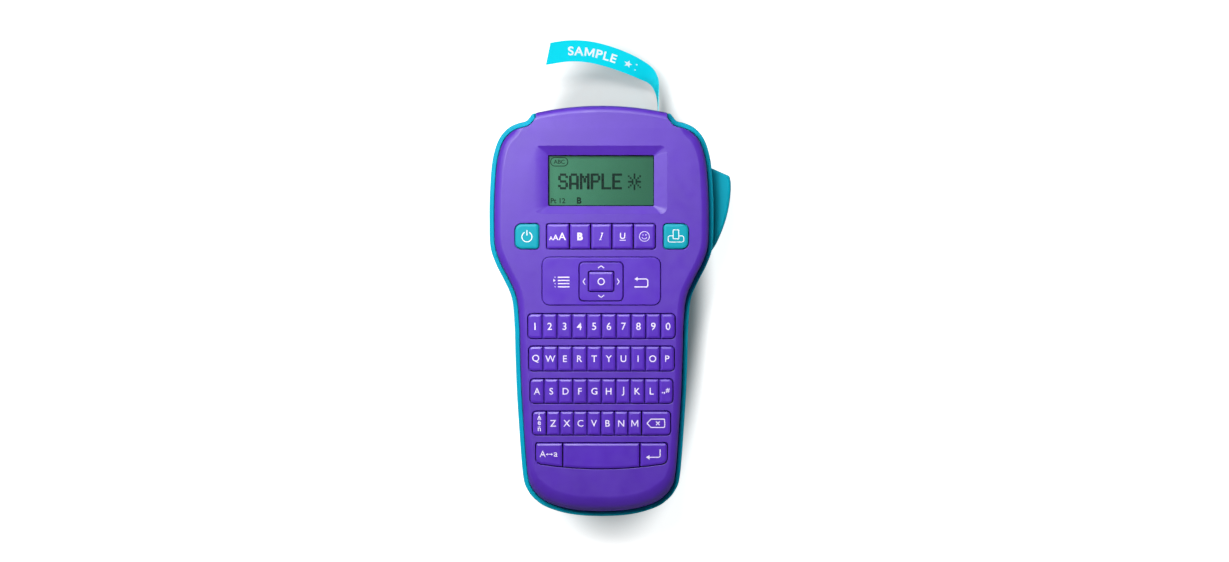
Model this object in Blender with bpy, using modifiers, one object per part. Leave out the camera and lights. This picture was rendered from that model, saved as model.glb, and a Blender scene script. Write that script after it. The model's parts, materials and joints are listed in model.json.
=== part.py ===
"""Handheld electronic label maker: a Blender 4.5 model of every piece.

The label maker lies on its back: +X is to the right of its face, +Y runs to its
top end, +Z points out of its face. The origin is on the flat back, halfway along.
Sizes below are in millimetres, with y counted from the lower end of the housing;
the helpers turn them into metres about the origin.
"""
import math

import bmesh
import bpy
import numpy as np
from mathutils import Matrix, Vector

MM = 0.001
HALF_LENGTH = 102.5            # lower end to the origin
TILT = math.radians(3.0)       # the face rises towards the top end
FACE_LOW = 36.0                # height of the face above the back at the lower end
GAP = 0.3                      # clearance between neighbouring pieces

# Housing outline: half width and height y, from the lower end up the right side.
SIDE = [(0, 0), (14, 0.4), (22, 1.7), (28.8, 4.0), (33.6, 7.7), (37.0, 13.1), (38.8, 20), (40.1, 33),
        (42, 61), (43.3, 92), (44.3, 108), (47.5, 116.8), (52, 124.9), (55.2, 133.6), (56.1, 147),
        (55.8, 163), (54.2, 179.5), (50.9, 188.9), (46.3, 193.9)]
NOTCH = [(41.8, 196), (37.6, 197.2), (35.8, 199.2)]
HORN = [(34.5, 200.7), (32.5, 201), (17, 203.1), (0, 203.8)]
PLAIN_TOP = [(40.5, 197), (18, 201.6), (0, 202.4)]
CROWN_CORNER = (40.2, 197.2)    # the cover's corner if it had no notch beside the tongue
TONGUE_CORNER = (32.75, 201.2)
TONGUE_TOP = 204.7

RIM_WIDTH = 2.3                # bead seen around the cover
COVER_GAP = 0.45
RIM_LOW, RIM_HIGH = -16.0, -8.5
SEAT = -12.3                   # ledge that the cover sits on
COVER_LOW = -12.0
COVER_WALL = 2.0
SHOULDER_SIDE, SHOULDER_CHIN, SHOULDER_CREST = 3.8, 8.0, 7.5
SHOULDER_PROFILE = ((0.0, 0.85), (0.1, 0.5), (0.42, 0.18), (1.0, 0.0))
TUB_INSET, TUB_WALL = 1.6, 2.0
TUB_ROUND = 9.0
HATCH_ROUND = 3.0
LEVEL = 0.01                   # how closely an edge must lie at a height to be rounded

# Display
RECESS = (-33.9, 150.65, 32.8, 184.85)
WINDOW = (-26.75, 154.55, 26.25, 180.05)
RECESS_DEPTH = 3.0
DISPLAY_FRAME = (2.0, 1.8, 4.6)  # side margin, end margin and depth of the frame behind the recess

# Key groups: left, lower, right, upper
KEY_TOP, KEY_LOW = 1.0, -3.8
SKIRT_TOP = -2.3
SKIRT = 0.8
SLOT_GAP = 0.4
SLOT_LOW, SLOT_HIGH = -12, 4   # slot cutters reach through the cover
KEY_GAP = 0.5
KEY_ROUND = 0.5
POWER = (-43.1, 133.35, -31.35, 145.75)
PRINT = (31.05, 133.35, 43.35, 145.75)
FORMAT_ROW = (-27.35, 133.35, 26.75, 145.75)
NAV_PANEL = (-29.6, 105.35, 29.4, 129.1)
NAV_RING = (-11.0, 107.45, 10.65, 126.6)
OK_KEY = (-6.4, 112.1, 6.05, 122.0)
DIGITS = (-36.7, 88.55, 36.7, 100.75)
QWERTY = (-36.3, 72.35, 36.3, 84.55)
HOME_ROW = (-35.6, 56.15, 35.6, 68.2)
LOWER_ROW = (-34.45, 40.25, 34.45, 52.0)
LOWER_SPLITS = (-27.55, 20.05)
BOTTOM_ROW = (-32.8, 26.1, 32.8, 36.1)
BOTTOM_SPLITS = (-19.4, 19.2)
BOTTOM_SAG = 2.75              # how far the lowest row bulges at its middle

# Inside
MAT = (-6.2, -5.1)
BOARD = (-8.2, -6.6)
TAPE_X, TAPE_LOW, TAPE_HIGH = 28.5, 6.0, 18.0
TAPE_THICK = 0.3
PLATEN_R = 3.5
PLATEN = (TAPE_X + TAPE_THICK / 2 + 0.15 + PLATEN_R, 180.0)
ROLL_R = 16.2
ROLL = (TAPE_X - TAPE_THICK / 2 - 0.2 - ROLL_R, 134.0)
SUPPLY = (-8.0, 158.0)
GEAR_MODULE = 0.6
GEAR_LOW, GEAR_HIGH = 24.6, 28.4
PLATE_LOW, PLATE_HIGH = 22.0, 24.0
PLATEN_TEETH, IDLER_TEETH, PINION_TEETH, SPINDLE_TEETH = 24, 30, 10, 20
LEVER_PIVOT = (40.0, 127.0)
CASE = (-22.0, 110.0, 31.5, 174.7)
CASE_WALL = 1.2
CASSETTE_OPENING = (-27.0, 109.3, 33.4, 188.0)
BATTERY_OPENING = (-33.5, 22.0, 33.5, 93.5)
DOOR_RECESS = 0.4
CELL_R, CELL_LENGTH, CELL_PITCH = 5.25, 44.5, 10.9
CELL_LOW = 40.0
BAY_LOW, BAY_HIGH, BAY_WALL = 36, 90, 1.2
BAY_ROOF = (14.8, 16.0)
BOSS_DROP = 15.0               # bosses end this far below the face
BOSS_R, POST_R, SCREW_HOLE_R = 3.3, 2.8, 1.55
SCREW_SEAT, COUNTERBORE_R = 8.0, 2.4
SCREWS = [(-40, 184), (22, 194.4), (-37, 114), (37, 114), (-18, 15.5), (18, 15.5)]

# Finishes: colour, roughness, metallic
FINISHES = {
    "violet_plastic": ((0.20, 0.075, 0.62), 0.45, 0.0),
    "teal_plastic": ((0.0, 0.42, 0.52), 0.4, 0.0),
    "key_teal": ((0.03, 0.50, 0.60), 0.35, 0.0),
    "clear_window": ((0.75, 0.85, 0.80), 0.08, 0.0),
    "lcd_green": ((0.10, 0.26, 0.17), 0.3, 0.0),
    "board_green": ((0.02, 0.18, 0.07), 0.5, 0.0),
    "grey_rubber": ((0.25, 0.25, 0.27), 0.85, 0.0),
    "black_rubber": ((0.02, 0.02, 0.022), 0.8, 0.0),
    "steel": ((0.60, 0.60, 0.62), 0.3, 1.0),
    "white_nylon": ((0.80, 0.80, 0.76), 0.5, 0.0),
    "dark_plastic": ((0.03, 0.03, 0.035), 0.5, 0.0),
    "cyan_tape": ((0.0, 0.75, 0.90), 0.35, 0.0),
    "ribbon_black": ((0.02, 0.02, 0.03), 0.3, 0.0),
    "cell_jacket": ((0.05, 0.05, 0.06), 0.35, 0.0),
}


# ---------------------------------------------------------------- scene set-up

for leftover in list(bpy.data.objects):
    bpy.data.objects.remove(leftover, do_unlink=True)

PIECES = bpy.data.collections.new("label_maker")
CUTTERS = bpy.data.collections.new("label_maker_cutters")
bpy.context.scene.collection.children.link(PIECES)
bpy.context.scene.collection.children.link(CUTTERS)


def empty(name, location, rotation=(0, 0, 0), parent=None):
    frame = bpy.data.objects.new(name, None)
    frame.location = location
    frame.rotation_euler = rotation
    frame.parent = parent
    frame.empty_display_size = 0.01
    PIECES.objects.link(frame)
    return frame


BODY = empty("body_frame", (0, -HALF_LENGTH * MM, 0))
FACE = empty("face_frame", (0, 0, FACE_LOW * MM), (TILT, 0, 0), BODY)
bpy.context.view_layer.update()


def make_material(name):
    colour, roughness, metallic = FINISHES[name]
    material = bpy.data.materials.new(name)
    material.use_nodes = True
    shader = material.node_tree.nodes["Principled BSDF"]
    shader.inputs["Base Color"].default_value = (*colour, 1.0)
    shader.inputs["Roughness"].default_value = roughness
    shader.inputs["Metallic"].default_value = metallic
    return material


MATERIALS = {name: make_material(name) for name in FINISHES}


# --------------------------------------------------------------------- outlines

def along_face(y, depth=0.0):
    """Distance up the tilted face of a point seen at height y, lying at this depth."""
    return (y + depth * math.sin(TILT)) / math.cos(TILT)


def smooth(knots, steps):
    """Points of a centripetal Catmull-Rom curve through the knots."""
    p = [np.array(k, dtype=float) for k in knots]
    p = [2 * p[0] - p[1]] + p + [2 * p[-1] - p[-2]]
    points = []
    for a, b, c, d in zip(p, p[1:], p[2:], p[3:]):
        t = np.cumsum([0.0] + [math.sqrt(np.linalg.norm(v - u)) for u, v in ((a, b), (b, c), (c, d))])
        for s in np.linspace(t[1], t[2], steps, endpoint=False):
            ab = ((t[1] - s) * a + s * b) / t[1]
            bc = ((t[2] - s) * b + (s - t[1]) * c) / (t[2] - t[1])
            cd = ((t[3] - s) * c + (s - t[2]) * d) / (t[3] - t[2])
            left = ((t[2] - s) * ab + s * bc) / t[2]
            right = ((t[3] - s) * bc + (s - t[1]) * cd) / (t[3] - t[1])
            points.append(((t[2] - s) * left + (s - t[1]) * right) / (t[2] - t[1]))
    points.append(p[-2])
    return [tuple(point) for point in points]


def inset(line, distance):
    """Move an open line, running up the right side, towards the middle."""
    points = np.array(line)
    ahead = np.vstack([points[1:], points[-1:]])
    behind = np.vstack([points[:1], points[:-1]])
    direction = ahead - behind
    direction[0] = (1, 0)
    direction /= np.linalg.norm(direction, axis=1)[:, None]
    normal = np.column_stack([-direction[:, 1], direction[:, 0]])
    return [tuple(point) for point in points + distance * normal]


def closed(right_side):
    """Both halves of an outline whose right side starts and ends on the middle line."""
    left = [(-x, y) for x, y in reversed(right_side[1:-1])]
    return list(right_side) + left


SIDE_STEPS = 2
RIM_LINE = smooth(SIDE + NOTCH + HORN, SIDE_STEPS)
PLAIN_LINE = smooth(SIDE[:-1] + PLAIN_TOP, SIDE_STEPS)
NOTCH_END = SIDE_STEPS * (len(SIDE + NOTCH) - 1)
SIDE_END = SIDE_STEPS * (len(SIDE) - 1)


def tongue_arc(steps=5):
    """Top edge of the tongue from its right corner to the middle."""
    corner_x, corner_y = TONGUE_CORNER
    rise = TONGUE_TOP - corner_y
    radius = (corner_x ** 2 + rise ** 2) / (2 * rise)
    points = []
    for x in np.linspace(corner_x, 0, steps):
        y = TONGUE_TOP - radius + math.sqrt(radius ** 2 - x ** 2)
        points.append((x, y))
    return points


def crown_line():
    """Right side of the cover if its corners were not notched."""
    side = inset(RIM_LINE[:SIDE_END + 1], RIM_WIDTH + COVER_GAP)
    arc = tongue_arc()
    corner = smooth([side[-2], side[-1], CROWN_CORNER, arc[0], arc[1]], 3)[4:-4]
    return side + corner + arc


def rectangle(left, low, right, high, radius=0.0, steps=2, grow=0.0):
    left, low, right, high = left - grow, low - grow, right + grow, high + grow
    if radius <= 0:
        return [(left, low), (right, low), (right, high), (left, high)]
    points = []
    centres = [(right - radius, low + radius, -90), (right - radius, high - radius, 0),
               (left + radius, high - radius, 90), (left + radius, low + radius, 180)]
    for x, y, start in centres:
        for k in range(steps + 1):
            angle = math.radians(start + 90 * k / steps)
            points.append((x + radius * math.cos(angle), y + radius * math.sin(angle)))
    return points


def bottom_row_outline(left, right, grow=0.0):
    """Key of the lowest row, whose lower edge follows one shallow arc."""
    reach, low, top = BOTTOM_ROW[2], BOTTOM_ROW[1], BOTTOM_ROW[3] + grow
    left, right = left - grow, right + grow
    points = []
    for x in np.linspace(left, right, 7):
        points.append((x, low - BOTTOM_SAG * (1 - (x / reach) ** 2) - grow))
    return points + [(right, top), (left, top)]


# ---------------------------------------------------------------- making solids

def link(name, mesh, frame, collection=PIECES):
    piece = bpy.data.objects.new(name, mesh)
    piece.parent = frame
    collection.objects.link(piece)
    if collection is CUTTERS:
        piece.hide_render = True
        piece.display_type = "WIRE"
    return piece


def tidy(mesh):
    """Weld a mesh, merge its flat facets and point its faces outwards."""
    work = bmesh.new()
    work.from_mesh(mesh)
    bmesh.ops.remove_doubles(work, verts=work.verts, dist=1e-6)
    bmesh.ops.dissolve_limit(work, angle_limit=0.002, verts=work.verts, edges=work.edges)
    bmesh.ops.recalc_face_normals(work, faces=work.faces)
    work.to_mesh(mesh)
    work.free()


def prism(name, outline, low, high, frame=BODY, collection=PIECES):
    """Solid between two heights with a flat outline, in millimetres of the frame."""
    curve = bpy.data.curves.new(name, "CURVE")
    curve.dimensions = "2D"
    curve.fill_mode = "BOTH"
    curve.extrude = (high - low) / 2 * MM
    spline = curve.splines.new("POLY")
    spline.points.add(len(outline) - 1)
    for point, (x, y) in zip(spline.points, outline):
        point.co = (x * MM, y * MM, 0, 1)
    spline.use_cyclic_u = True
    flat = bpy.data.objects.new(name, curve)
    bpy.context.scene.collection.objects.link(flat)
    bpy.context.view_layer.update()
    evaluated = flat.evaluated_get(bpy.context.evaluated_depsgraph_get())
    mesh = bpy.data.meshes.new_from_object(evaluated)
    bpy.data.objects.remove(flat, do_unlink=True)
    bpy.data.curves.remove(curve)
    mesh.transform(Matrix.Translation((0, 0, (low + high) / 2 * MM)))
    tidy(mesh)
    mesh.name = name
    return link(name, mesh, frame, collection)


def block(name, low_corner, high_corner, frame=BODY, collection=PIECES):
    low, high = Vector(low_corner) * MM, Vector(high_corner) * MM
    work = bmesh.new()
    bmesh.ops.create_cube(work, size=1.0)
    bmesh.ops.scale(work, vec=high - low, verts=work.verts)
    bmesh.ops.translate(work, vec=(high + low) / 2, verts=work.verts)
    mesh = bpy.data.meshes.new(name)
    work.to_mesh(mesh)
    work.free()
    return link(name, mesh, frame, collection)


def rod(name, centre, radius, low, high, frame=BODY, collection=PIECES, sides=16, top_radius=None):
    """Cylinder or cone that stands along the frame's Z axis."""
    work = bmesh.new()
    bmesh.ops.create_cone(work, cap_ends=True, segments=sides, radius1=radius * MM,
                          radius2=(radius if top_radius is None else top_radius) * MM,
                          depth=(high - low) * MM)
    bmesh.ops.translate(work, vec=(centre[0] * MM, centre[1] * MM, (low + high) / 2 * MM), verts=work.verts)
    mesh = bpy.data.meshes.new(name)
    work.to_mesh(mesh)
    work.free()
    return link(name, mesh, frame, collection)


def turned(name, profile, steps):
    """Solid of revolution about Z; the profile runs down its outer side, top to bottom."""
    mesh = bpy.data.meshes.new(name)
    vertices = [(radius * MM, 0, height * MM) for radius, height in profile]
    mesh.from_pydata(vertices, [(k, k + 1) for k in range(len(vertices) - 1)], [])
    piece = link(name, mesh, BODY)
    screw = piece.modifiers.new("turn", "SCREW")
    screw.steps = steps
    screw.render_steps = steps
    screw.use_merge_vertices = True
    screw.merge_threshold = 1e-5
    screw.use_smooth_shade = True
    return piece


def boolean(target, other, operation):
    step = target.modifiers.new(operation.lower() + "_" + other.name, "BOOLEAN")
    step.operation = operation
    step.solver = "EXACT"
    step.object = other


def cut(target, *cutters):
    for cutter in cutters:
        boolean(target, cutter, "DIFFERENCE")


def join(target, *additions):
    for addition in additions:
        boolean(target, addition, "UNION")


def round_edges(piece, width, segments, weight):
    """Bevel level edges by a weight worked out from each edge's middle point, in millimetres."""
    mesh = piece.data
    weights = mesh.attributes.new("bevel_weight_edge", "FLOAT", "EDGE")
    for edge in mesh.edges:
        a, b = (mesh.vertices[v].co for v in edge.vertices)
        level = abs(a.z - b.z) < 1e-6
        weights.data[edge.index].value = weight((a + b) / 2 / MM) if level else 0.0
    step = piece.modifiers.new("rounded_edges", "BEVEL")
    step.limit_method = "WEIGHT"
    step.width = width * MM
    step.segments = segments
    step.use_clamp_overlap = False
    step.miter_outer = "MITER_SHARP"


def finish(piece, material, origin=None):
    """Give a piece its material and, where it moves, an origin on its axis (mm)."""
    piece.data.materials.clear()
    piece.data.materials.append(MATERIALS[material])
    if origin is not None:
        shift = Vector(origin) * MM
        piece.data.transform(Matrix.Translation(-shift))
        piece.location = shift
    return piece


def shade_round(piece):
    piece.data.shade_smooth()
    piece.data.set_sharp_from_angle(angle=math.radians(35))


# --------------------------------------------------------------- housing shells

def shoulder_width(y):
    """The cover's shoulder is widest at the chin and along the top of the tongue."""
    chin = min(max((26 - y) / 18, 0.0), 1.0)
    crest = min(max((y - 190) / 10, 0.0), 1.0)
    return (SHOULDER_SIDE + (SHOULDER_CHIN - SHOULDER_SIDE) * chin * chin * (3 - 2 * chin)
            + (SHOULDER_CREST - SHOULDER_SIDE) * crest * crest * (3 - 2 * crest))


def crown(name, wall, low, collection=PIECES):
    """Cover solid, lofted from its outline at the rim to the smaller one of its flat face."""
    line = np.array(crown_line())
    widths = np.array([shoulder_width(y) for _, y in line])
    unit = np.array(inset(line, 1.0)) - line
    unit[-1] = (0, -1)
    rings = [(wall, np.full(len(line), low))]
    rings += [(wall + share * (widths - 1.2 * wall), -wall - drop * (widths - 0.5 * wall))
              for share, drop in SHOULDER_PROFILE]
    work = bmesh.new()
    loops = []
    for offset, heights in rings:
        right = line + unit * np.reshape(offset * np.ones(len(line)), (-1, 1))
        ring = [(x, along_face(y, COVER_LOW / 2), z) for (x, y), z in zip(right, heights)]
        ring += [(-x, y, z) for x, y, z in reversed(ring[1:-1])]
        loops.append([work.verts.new(Vector(point) * MM) for point in ring])
    for below, above in zip(loops, loops[1:]):
        for k in range(len(below)):
            work.faces.new((below[k - 1], below[k], above[k], above[k - 1]))
    work.faces.new(list(reversed(loops[0])))
    work.faces.new(loops[-1])
    mesh = bpy.data.meshes.new(name)
    work.to_mesh(mesh)
    work.free()
    return link(name, mesh, FACE, collection)


def face_outline(points, depth):
    return [(x, along_face(y, depth)) for x, y in points]


def notch_cutters():
    """Corner pieces outside the cover, one on each side of its tongue."""
    cover = inset(RIM_LINE[:NOTCH_END + 1], RIM_WIDTH + COVER_GAP)
    edge = [point for point in cover if point[1] > 190.6]
    corner_x, corner_y = TONGUE_CORNER
    outline = edge + [(corner_x, corner_y - 2), (corner_x, 209), (54, 209), (54, edge[0][1] - 0.5)]
    outline = face_outline(outline, COVER_LOW / 2)
    right = prism("notch_right", outline, -20, 5, FACE, CUTTERS)
    left = prism("notch_left", [(-x, y) for x, y in reversed(outline)], -20, 5, FACE, CUTTERS)
    return right, left


def facet_recess(name, outer, inner, depth):
    """Pyramid-sided recess from an outer rectangle down to an inner one."""
    work = bmesh.new()
    bmesh.ops.create_cube(work, size=2.0)
    for vertex in work.verts:
        x, y, z = vertex.co
        frame = outer if z > 0 else inner
        vertex.co = ((frame[2] if x > 0 else frame[0]) * MM,
                     along_face(frame[3] if y > 0 else frame[1], -depth / 2) * MM,
                     (0.0 if z > 0 else -depth) * MM)
    upper = [face for face in work.faces if face.normal.z > 0.9]
    raised = bmesh.ops.extrude_face_region(work, geom=upper)["geom"]
    raised_points = [item for item in raised if isinstance(item, bmesh.types.BMVert)]
    bmesh.ops.translate(work, vec=(0, 0, 2 * MM), verts=raised_points)
    bmesh.ops.delete(work, geom=upper, context="FACES_ONLY")
    mesh = bpy.data.meshes.new(name)
    work.to_mesh(mesh)
    work.free()
    tidy(mesh)
    return link(name, mesh, FACE, CUTTERS)


def face_rectangle(area, radius=0.0, grow=0.0, steps=2):
    left, low, right, high = area
    return rectangle(left, along_face(low), right, along_face(high), radius, steps, grow)


def slot_cutter(name, area, radius):
    return prism(name, face_rectangle(area, radius, SLOT_GAP), SLOT_LOW, SLOT_HIGH, FACE, CUTTERS)


def front_cover():
    cover = crown("front_cover", 0.0, COVER_LOW)
    hollow = crown("cover_hollow", COVER_WALL, COVER_LOW - 2, CUTTERS)
    for name, sign in (("corner_fill_right", 1), ("corner_fill_left", -1)):
        xs = sorted((sign * 30.5, sign * 60))
        cut(hollow, block(name, (xs[0], 187, -30), (xs[1], 215, 5), FACE, CUTTERS))
    side, end, depth = DISPLAY_FRAME
    left, low, right, high = RECESS
    cut(hollow, block("display_frame", (left - side, low - end, -depth), (right + side, high + end, 0),
                      FACE, CUTTERS))
    cut(cover, hollow, *notch_cutters())
    cut(cover, facet_recess("display_recess", RECESS, WINDOW, RECESS_DEPTH))
    cut(cover, prism("window_hole", face_rectangle(WINDOW), -8, 1, FACE, CUTTERS))
    for name, area, radius in (("power_slot", POWER, 2.0), ("print_slot", PRINT, 2.0),
                               ("format_slot", FORMAT_ROW, 1.2), ("nav_slot", NAV_PANEL, 4.0),
                               ("digit_slot", DIGITS, 1.2), ("qwerty_slot", QWERTY, 1.2),
                               ("home_slot", HOME_ROW, 1.2), ("lower_slot", LOWER_ROW, 1.2)):
        cut(cover, slot_cutter(name, area, radius))
    bottom = face_outline(bottom_row_outline(BOTTOM_ROW[0], BOTTOM_ROW[2], SLOT_GAP), 0)
    cut(cover, prism("bottom_slot", bottom, SLOT_LOW, SLOT_HIGH, FACE, CUTTERS))
    for number, (x, y) in enumerate(SCREWS, 1):
        top = FACE_LOW + y * math.tan(TILT) - 1.2
        post = rod(f"cover_post_{number}", (x, y), POST_R, boss_top(y) + GAP, top, BODY, CUTTERS, 12)
        join(cover, post)
        cut(cover, rod(f"cover_thread_{number}", (x, y), SCREW_HOLE_R, 0, boss_top(y) + 8, BODY, CUTTERS, 12))
    return finish(cover, "violet_plastic")


def boss_top(y):
    """Height of the housing's screw bosses."""
    return FACE_LOW + y * math.tan(TILT) - BOSS_DROP


def tub(name, extra_inset, low, high, radius, collection):
    """Lower shell solid: flat back, rounded edges, cut off level with the rim."""
    line = inset(PLAIN_LINE, TUB_INSET + extra_inset)
    line[0] = (0.0, line[0][1])
    line[-1] = (0.0, line[-1][1])
    body = prism(name, closed(line), low, high, BODY, collection)
    round_edges(body, radius, 2, lambda middle: 1.0 if abs(middle.z - low) < LEVEL else 0.0)
    return body


def opening(name, area):
    return prism(name, rectangle(*area, HATCH_ROUND), -5, 8, BODY, CUTTERS)


def rear_housing():
    housing = tub("rear_housing", 0, 0, 34, TUB_ROUND, PIECES)
    cut(housing, block("tub_top", (-80, -20, RIM_LOW + 2), (80, 230, 60), FACE, CUTTERS))
    rim = prism("rim_bead", face_outline(closed(RIM_LINE), RIM_HIGH), RIM_LOW, RIM_HIGH, FACE, CUTTERS)
    round_edges(rim, 0.8, 1, lambda middle: 1.0)
    join(housing, rim)
    cavity = tub("tub_cavity", TUB_WALL, TUB_WALL, 60, TUB_ROUND - TUB_WALL + 1, CUTTERS)
    roof_low, roof_high = BAY_ROOF
    cut(cavity, block("bay_roof", (-60, BAY_LOW, roof_low), (60, BAY_HIGH, roof_high), BODY, CUTTERS),
        block("bay_end_low", (-60, BAY_LOW, 2.8), (60, BAY_LOW + BAY_WALL, roof_high), BODY, CUTTERS),
        block("bay_end_high", (-60, BAY_HIGH - BAY_WALL, 2.8), (60, BAY_HIGH, roof_high), BODY, CUTTERS))
    for number, (x, y) in enumerate(SCREWS, 1):
        cut(cavity, rod(f"boss_{number}", (x, y), BOSS_R, 0, boss_top(y), BODY, CUTTERS, 12))
    cut(housing, cavity)
    seat_line = inset(RIM_LINE[:NOTCH_END + 1], RIM_WIDTH)
    half = TONGUE_CORNER[0] + 0.6
    seat_line = [point for point in seat_line if point[0] > half or point[1] < 100]
    seat_line += [(half, seat_line[-1][1] + 0.8), (half, 212), (0, 212)]
    seat = prism("cover_seat", face_outline(closed(seat_line), RIM_HIGH), SEAT, 5, FACE, CUTTERS)
    cut(housing, seat)
    cut(housing, opening("cassette_hatch", CASSETTE_OPENING), opening("battery_hatch", BATTERY_OPENING))
    cut(housing, block("lever_slot", (44, 130.3, 7.2), (70, 178, 26.5), BODY, CUTTERS))
    cut(housing, block("tape_exit", (TAPE_X - 1.2, 184, TAPE_LOW - 1), (TAPE_X + 1.2, 215, TAPE_HIGH + 1),
                       BODY, CUTTERS))
    for number, (x, y) in enumerate(SCREWS, 1):
        cut(housing, rod(f"counterbore_{number}", (x, y), COUNTERBORE_R, -5, SCREW_SEAT, BODY, CUTTERS, 12))
        cut(housing, rod(f"screw_hole_{number}", (x, y), SCREW_HOLE_R, 0, 50, BODY, CUTTERS, 12))
    return finish(housing, "teal_plastic")


def door(name, area, hinge_y):
    """Skin of the tub inside a hatch, a little smaller and a little recessed."""
    left, low, right, high = area
    panel = tub(name, 0, 0, 20, TUB_ROUND, PIECES)
    cut(panel, tub(name + "_inner", TUB_WALL, TUB_WALL, 25, TUB_ROUND - TUB_WALL + 1, CUTTERS))
    keep = prism(name + "_keep", rectangle(left, low, right, high, HATCH_ROUND - GAP, grow=-GAP),
                 DOOR_RECESS, 7.5, BODY, CUTTERS)
    boolean(panel, keep, "INTERSECT")
    return finish(panel, "teal_plastic", (0, hinge_y, DOOR_RECESS))


def case_screw(number, x, y):
    """Pan-head screw, driven from the back into the cover's post."""
    tip = boss_top(y) + 7
    seat = SCREW_SEAT - GAP
    profile = [(0, tip), (1.2, tip - 0.4), (1.2, seat), (2.0, seat), (2.0, seat - 1.2), (1.5, seat - 1.7),
               (0, seat - 1.7)]
    screw = turned(f"case_screw_{number}", profile, 10)
    finish(screw, "steel")
    screw.location = (x * MM, y * MM, 0)


# ------------------------------------------------------------------ face pieces

def display():
    left, low, right, high = WINDOW
    lens = prism("display_window", face_rectangle(WINDOW, 0, -GAP), -4.3, -3.3, FACE)
    finish(lens, "clear_window")
    panel = block("lcd_panel", (left - 2.5, along_face(low) - 2.5, -6.3),
                  (right + 2.5, along_face(high) + 2.5, -4.9), FACE)
    finish(panel, "lcd_green")


def rounded_top(piece):
    round_edges(piece, KEY_ROUND, 1, lambda middle: 1.0 if abs(middle.z - KEY_TOP) < LEVEL else 0.0)


def key(name, area, material="violet_plastic", radius=0.8, outline=None, skirt_sides=False):
    """Key cap with a skirt that holds it under the cover."""
    left, low, right, high = area
    low, high = along_face(low), along_face(high)
    side = SKIRT if skirt_sides else 0.0
    cap = prism(name, outline or rectangle(left, low, right, high, radius), KEY_LOW, KEY_TOP, FACE)
    rounded_top(cap)
    skirt = block(name + "_skirt", (left - side, low - SKIRT, KEY_LOW),
                  (right + side, high + SKIRT, SKIRT_TOP), FACE, CUTTERS)
    join(cap, skirt)
    return finish(cap, material, ((left + right) / 2, (low + high) / 2, 0))


def key_strip(name, area, count):
    """Row of letter keys moulded on one base."""
    left, low, right, high = area
    pitch = (right - left + KEY_GAP) / count
    strip = block(name, (left, along_face(low) - SKIRT, KEY_LOW),
                  (right, along_face(high) + SKIRT, SKIRT_TOP), FACE)
    for number in range(count):
        start = left + number * pitch
        outline = face_rectangle((start, low, start + pitch - KEY_GAP, high))
        cap = prism(f"{name}_cap_{number}", outline, SKIRT_TOP - 0.6, KEY_TOP, FACE, CUTTERS)
        rounded_top(cap)
        join(strip, cap)
    return finish(strip, "violet_plastic", ((left + right) / 2, along_face((low + high) / 2), 0))


def split(area, edges):
    """Cut a row into keys at the given places, leaving the gap between them."""
    left, low, right, high = area
    ends = [left - KEY_GAP / 2, *edges, right + KEY_GAP / 2]
    return [(a + KEY_GAP / 2, low, b - KEY_GAP / 2, high) for a, b in zip(ends, ends[1:])]


def keyboard():
    key("key_power", POWER, "key_teal", 2.0, skirt_sides=True)
    key("key_print", PRINT, "key_teal", 2.0, skirt_sides=True)
    format_names = ("key_size", "key_bold", "key_italic", "key_underline", "key_symbols")
    for name, area in zip(format_names, split(FORMAT_ROW, (-16.0, -5.4, 5.2, 15.9))):
        key(name, area)
    key_strip("row_digits", DIGITS, 10)
    key_strip("row_qwerty", QWERTY, 10)
    key_strip("row_asdf", HOME_ROW, 10)
    accent, letters, backspace = split(LOWER_ROW, LOWER_SPLITS)
    key("key_accent", accent)
    key_strip("row_zxcv", letters, 7)
    key("key_backspace", backspace)
    for name, area in zip(("key_case", "key_space", "key_return"), split(BOTTOM_ROW, BOTTOM_SPLITS)):
        outline = face_outline(bottom_row_outline(area[0], area[2]), 0)
        key(name, area, outline=outline)


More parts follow.
